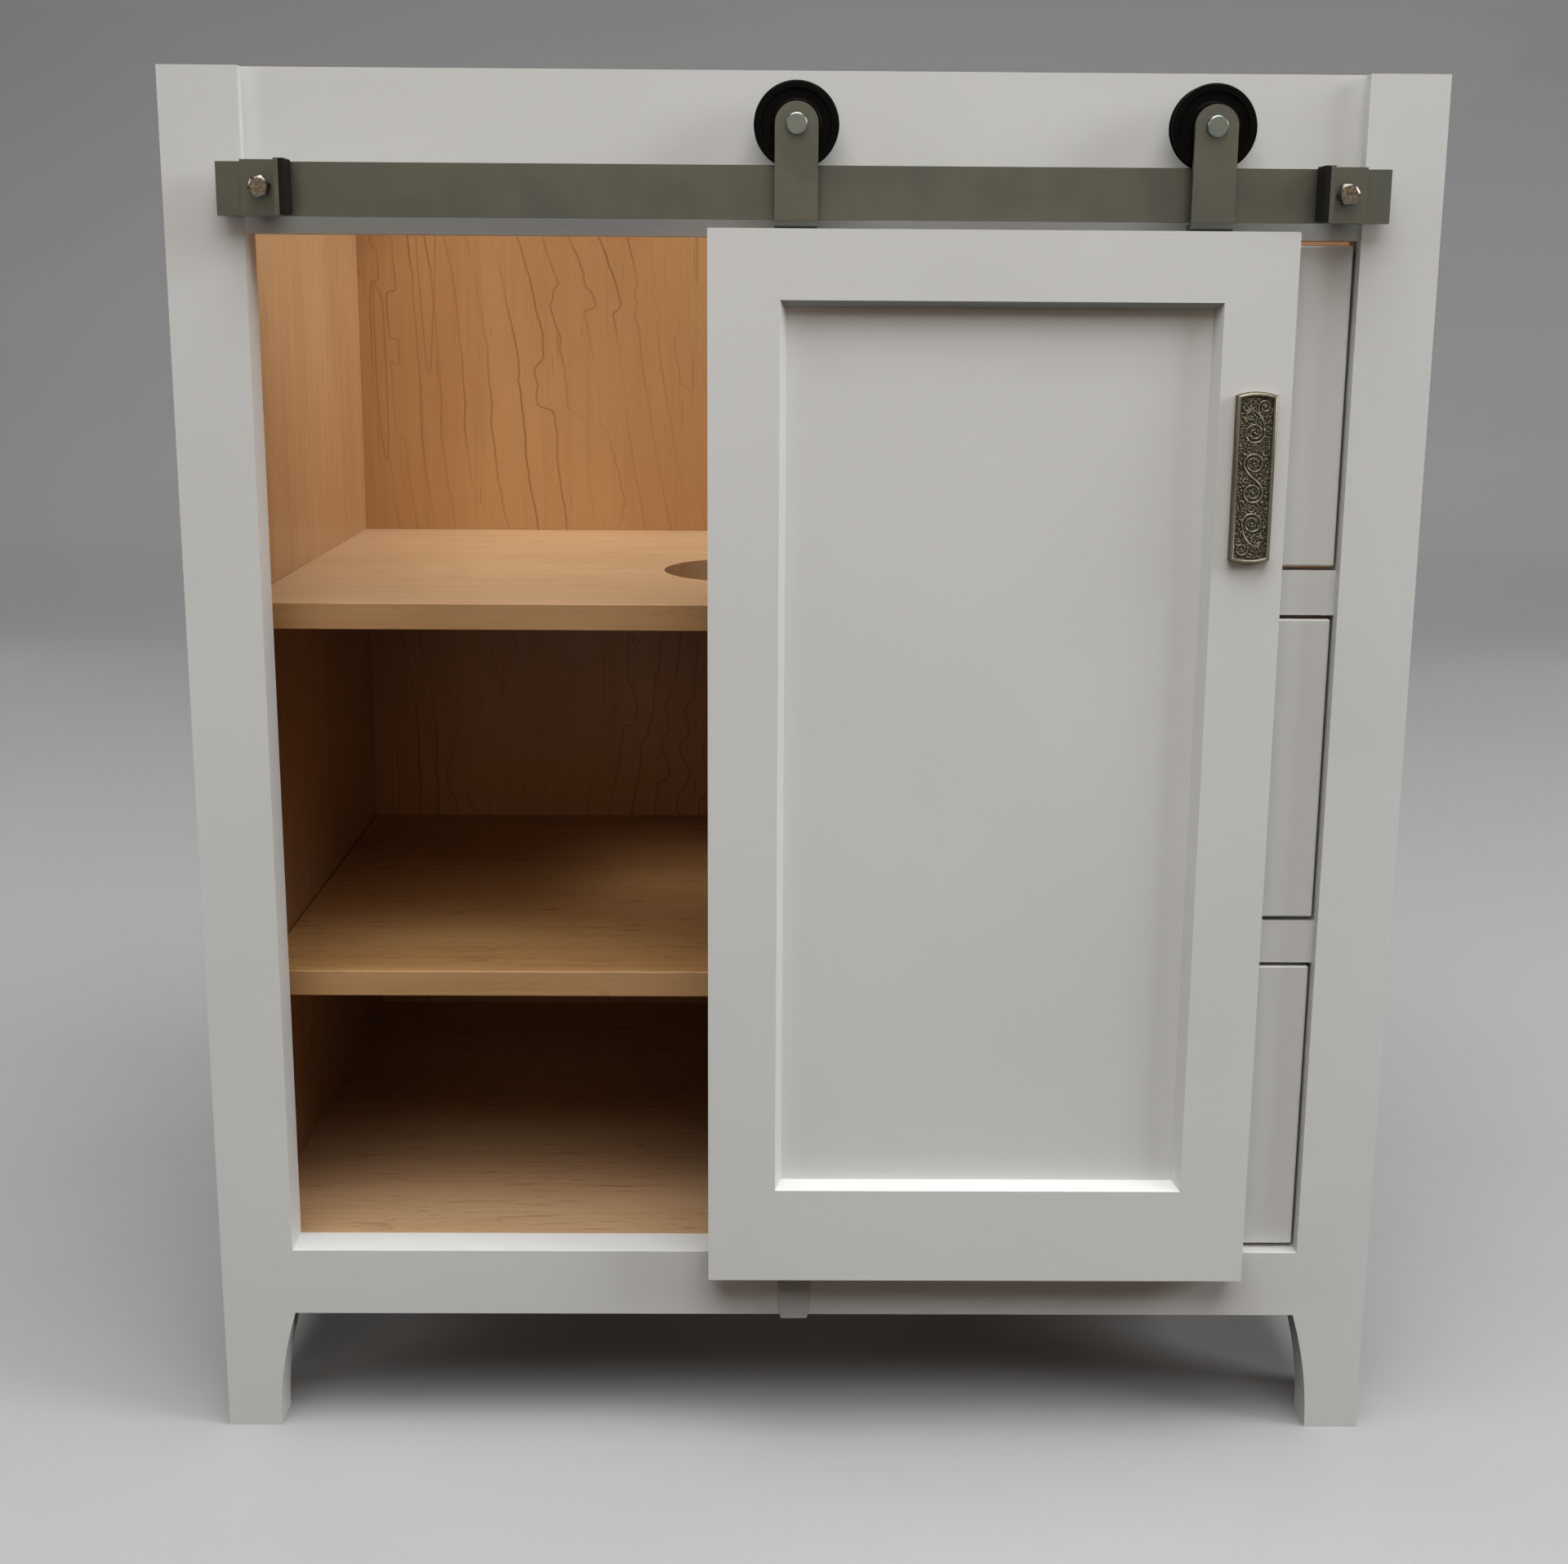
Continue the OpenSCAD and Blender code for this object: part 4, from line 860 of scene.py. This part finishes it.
def studio():
    """Pale floor that curves up into a backdrop. Returns its material."""
    floor = bmesh.new()
    bmesh.ops.create_grid(floor, x_segments=1, y_segments=1, size=1)
    bmesh.ops.scale(floor, vec=(FLOOR_HALF_WIDTH, FLOOR_HALF_DEPTH, 1), verts=floor.verts)
    bmesh.ops.translate(floor, vec=(0, FLOOR_SHIFT, 0), verts=floor.verts)
    bend_start = FLOOR_HALF_DEPTH + FLOOR_SHIFT
    far = [e for e in floor.edges if all(v.co.y > bend_start - 0.01 for v in e.verts)]
    bmesh.ops.spin(floor, geom=far, cent=(0, bend_start, BEND_RADIUS), axis=(1, 0, 0), dvec=(0, 0, 0),
                   angle=QUARTER_TURN, steps=16, use_merge=False, use_duplicate=False)
    top = [e for e in floor.edges if all(v.co.z > BEND_RADIUS - 0.01 for v in e.verts)]
    wall = bmesh.ops.extrude_edge_only(floor, edges=top)
    bmesh.ops.translate(floor, vec=(0, 0, BACKDROP_RISE), verts=new_verts(wall, "geom"))
    material, tree, shader = surface("pale backdrop")
    cloudy = noise(tree, stretched(tree), 1.2, 2)
    pale = blend_colours(tree, cloudy, BACKDROP_DARK, BACKDROP_LIGHT)
    tree.links.new(pale, shader.inputs["Base Color"])
    shader.inputs["Roughness"].default_value = 0.9
    sheet = made("backdrop", floor)
    sheet.data.shade_smooth()
    sheet.data.materials.append(material)
    sheet.visible_diffuse = False
    sheet.visible_shadow = False
    return material


def round_wall(material):
    """Pale cove all the way round, so that views from the side or behind have a background."""
    cove = bmesh.new()
    middle = cove.verts.new((0, 0, -COVE_DROP))
    floor_edge = bmesh.ops.extrude_vert_indiv(cove, verts=[middle])["verts"][0]
    floor_edge.co.x = COVE_RADIUS
    bend = bmesh.ops.spin(cove, geom=[floor_edge], cent=(COVE_RADIUS, 0, BEND_RADIUS - COVE_DROP),
                          axis=(0, -1, 0), angle=QUARTER_TURN, steps=12)
    last = new_verts(bend, "geom_last")
    rim = bmesh.ops.extrude_vert_indiv(cove, verts=last)["verts"][0]
    rim.co.z = COVE_HEIGHT
    bmesh.ops.spin(cove, geom=cove.verts[:] + cove.edges[:], cent=(0, 0, 0), axis=(0, 0, 1),
                   angle=FULL_TURN, steps=72, use_merge=True)
    bmesh.ops.remove_doubles(cove, verts=cove.verts, dist=0.1 * MM)
    bmesh.ops.recalc_face_normals(cove, faces=cove.faces)
    wall = made("round_wall", cove)
    wall.data.shade_smooth()
    wall.data.materials.append(material)
    wall.visible_diffuse = False
    wall.visible_glossy = False
    wall.visible_shadow = False


def lamp(name, place, aim, size, watts, colour=(1, 1, 1)):
    """A soft rectangular lamp that points at a place."""
    light = bpy.data.lights.new(name, "AREA")
    light.shape = "RECTANGLE"
    light.size, light.size_y = size
    light.energy = watts
    light.color = colour
    holder = into_scene(name, light)
    holder.location = place
    holder.rotation_mode = "QUATERNION"
    holder.rotation_quaternion = (Vector(aim) - Vector(place)).to_track_quat("-Z", "Y")
    holder.visible_camera = False


def lights():
    """A wide soft ceiling in four strips, a bright window to the right, weaker light from left and front.

    Two low lamps far behind light the back."""
    for strip, y, size, watts in (("ceiling over the unit", -0.3, (4.0, 2.0), 99),
                                  ("near ceiling", -1.9, (4.0, 1.6), 71),
                                  ("front ceiling", -3.4, (5.0, 4.0), 160),
                                  ("far ceiling", -5.6, (5.0, 1.8), 40)):
        lamp(strip, (0, y, 4.8), (0, y, 0), size, watts)
    lamp("right window", (6.0, -2.0, 3.2), (0, -1.0, 0.8), (2.5, 2.5), 190)
    lamp("left window", (-6.0, -2.0, 3.2), (0, -1.0, 0.8), (2.5, 2.5), 58)
    lamp("front", (0, -5.0, 1.6), (0, 0, 1.2), (4.0, 2.0), 24, (1.0, 0.76, 0.56))
    for rear, x in (("rear left", -4.0), ("rear right", 4.0)):
        lamp(rear, (x, 6.6, 0.9), (0, 0.3, 0.5), (2.4, 1.0), 80)
    world = bpy.data.worlds.new("room")
    world.use_nodes = True
    room = world.node_tree.nodes["Background"]
    room.inputs["Color"].default_value = (1.0, 0.99, 0.96, 1.0)
    room.inputs["Strength"].default_value = 0.005
    bpy.context.scene.world = world
    bpy.context.scene.view_settings.view_transform = "Standard"
    bpy.context.scene.view_settings.look = "Medium High Contrast"


# Place of the camera in millimetres, from the middle, the front of the posts and the floor
EYE = (-22.78, -1326.23, 746.85)
# Its turn to the right, its look down and its tilt, in degrees
LOOK = (0.56, 12.75, 0.39)
# Focal length and width of the photo in its own pixels, and width of the camera's sensor in millimetres
FOCAL_PIXELS = 2637.49
PHOTO_WIDTH = 1920
SENSOR_WIDTH = 36


def camera():
    """Camera at the photograph's place and angle, from the fit to the unit's known sizes."""
    posts_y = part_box("left_post")[0].y
    place = Vector((EYE[0] * MM, EYE[1] * MM + posts_y, EYE[2] * MM))
    turn, down, tilt = (math.radians(angle) for angle in LOOK)
    ahead = Vector((math.sin(turn) * math.cos(down), math.cos(turn) * math.cos(down), -math.sin(down)))
    level = Vector((math.cos(turn), -math.sin(turn), 0))
    above = level.cross(ahead)
    right = math.cos(tilt) * level + math.sin(tilt) * above
    up = math.cos(tilt) * above - math.sin(tilt) * level
    lens = bpy.data.cameras.new("camera")
    lens.sensor_fit = "HORIZONTAL"
    lens.sensor_width = SENSOR_WIDTH
    lens.lens = FOCAL_PIXELS / PHOTO_WIDTH * SENSOR_WIDTH
    lens.clip_start = 0.05
    lens.clip_end = 60
    eye = into_scene("camera", lens)
    eye.matrix_world = Matrix.Translation(place) @ Matrix((right, up, -ahead)).transposed().to_4x4()
    bpy.context.scene.camera = eye


dress_nodes()
painted_as_one("face_frame", ["left_post", "right_post"],
               ["bottom_rail", "top_rail", "centre_stile", "drawer_rail_upper", "drawer_rail_lower"],
               "cabinet")
painted_as_one("door_frame", ["door_left_stile", "door_right_stile"],
               ["door_top_rail", "door_bottom_rail"], "door", lap=0.05)
hex_bolts()
cast_pull()
round_wall(studio())
lights()
camera()
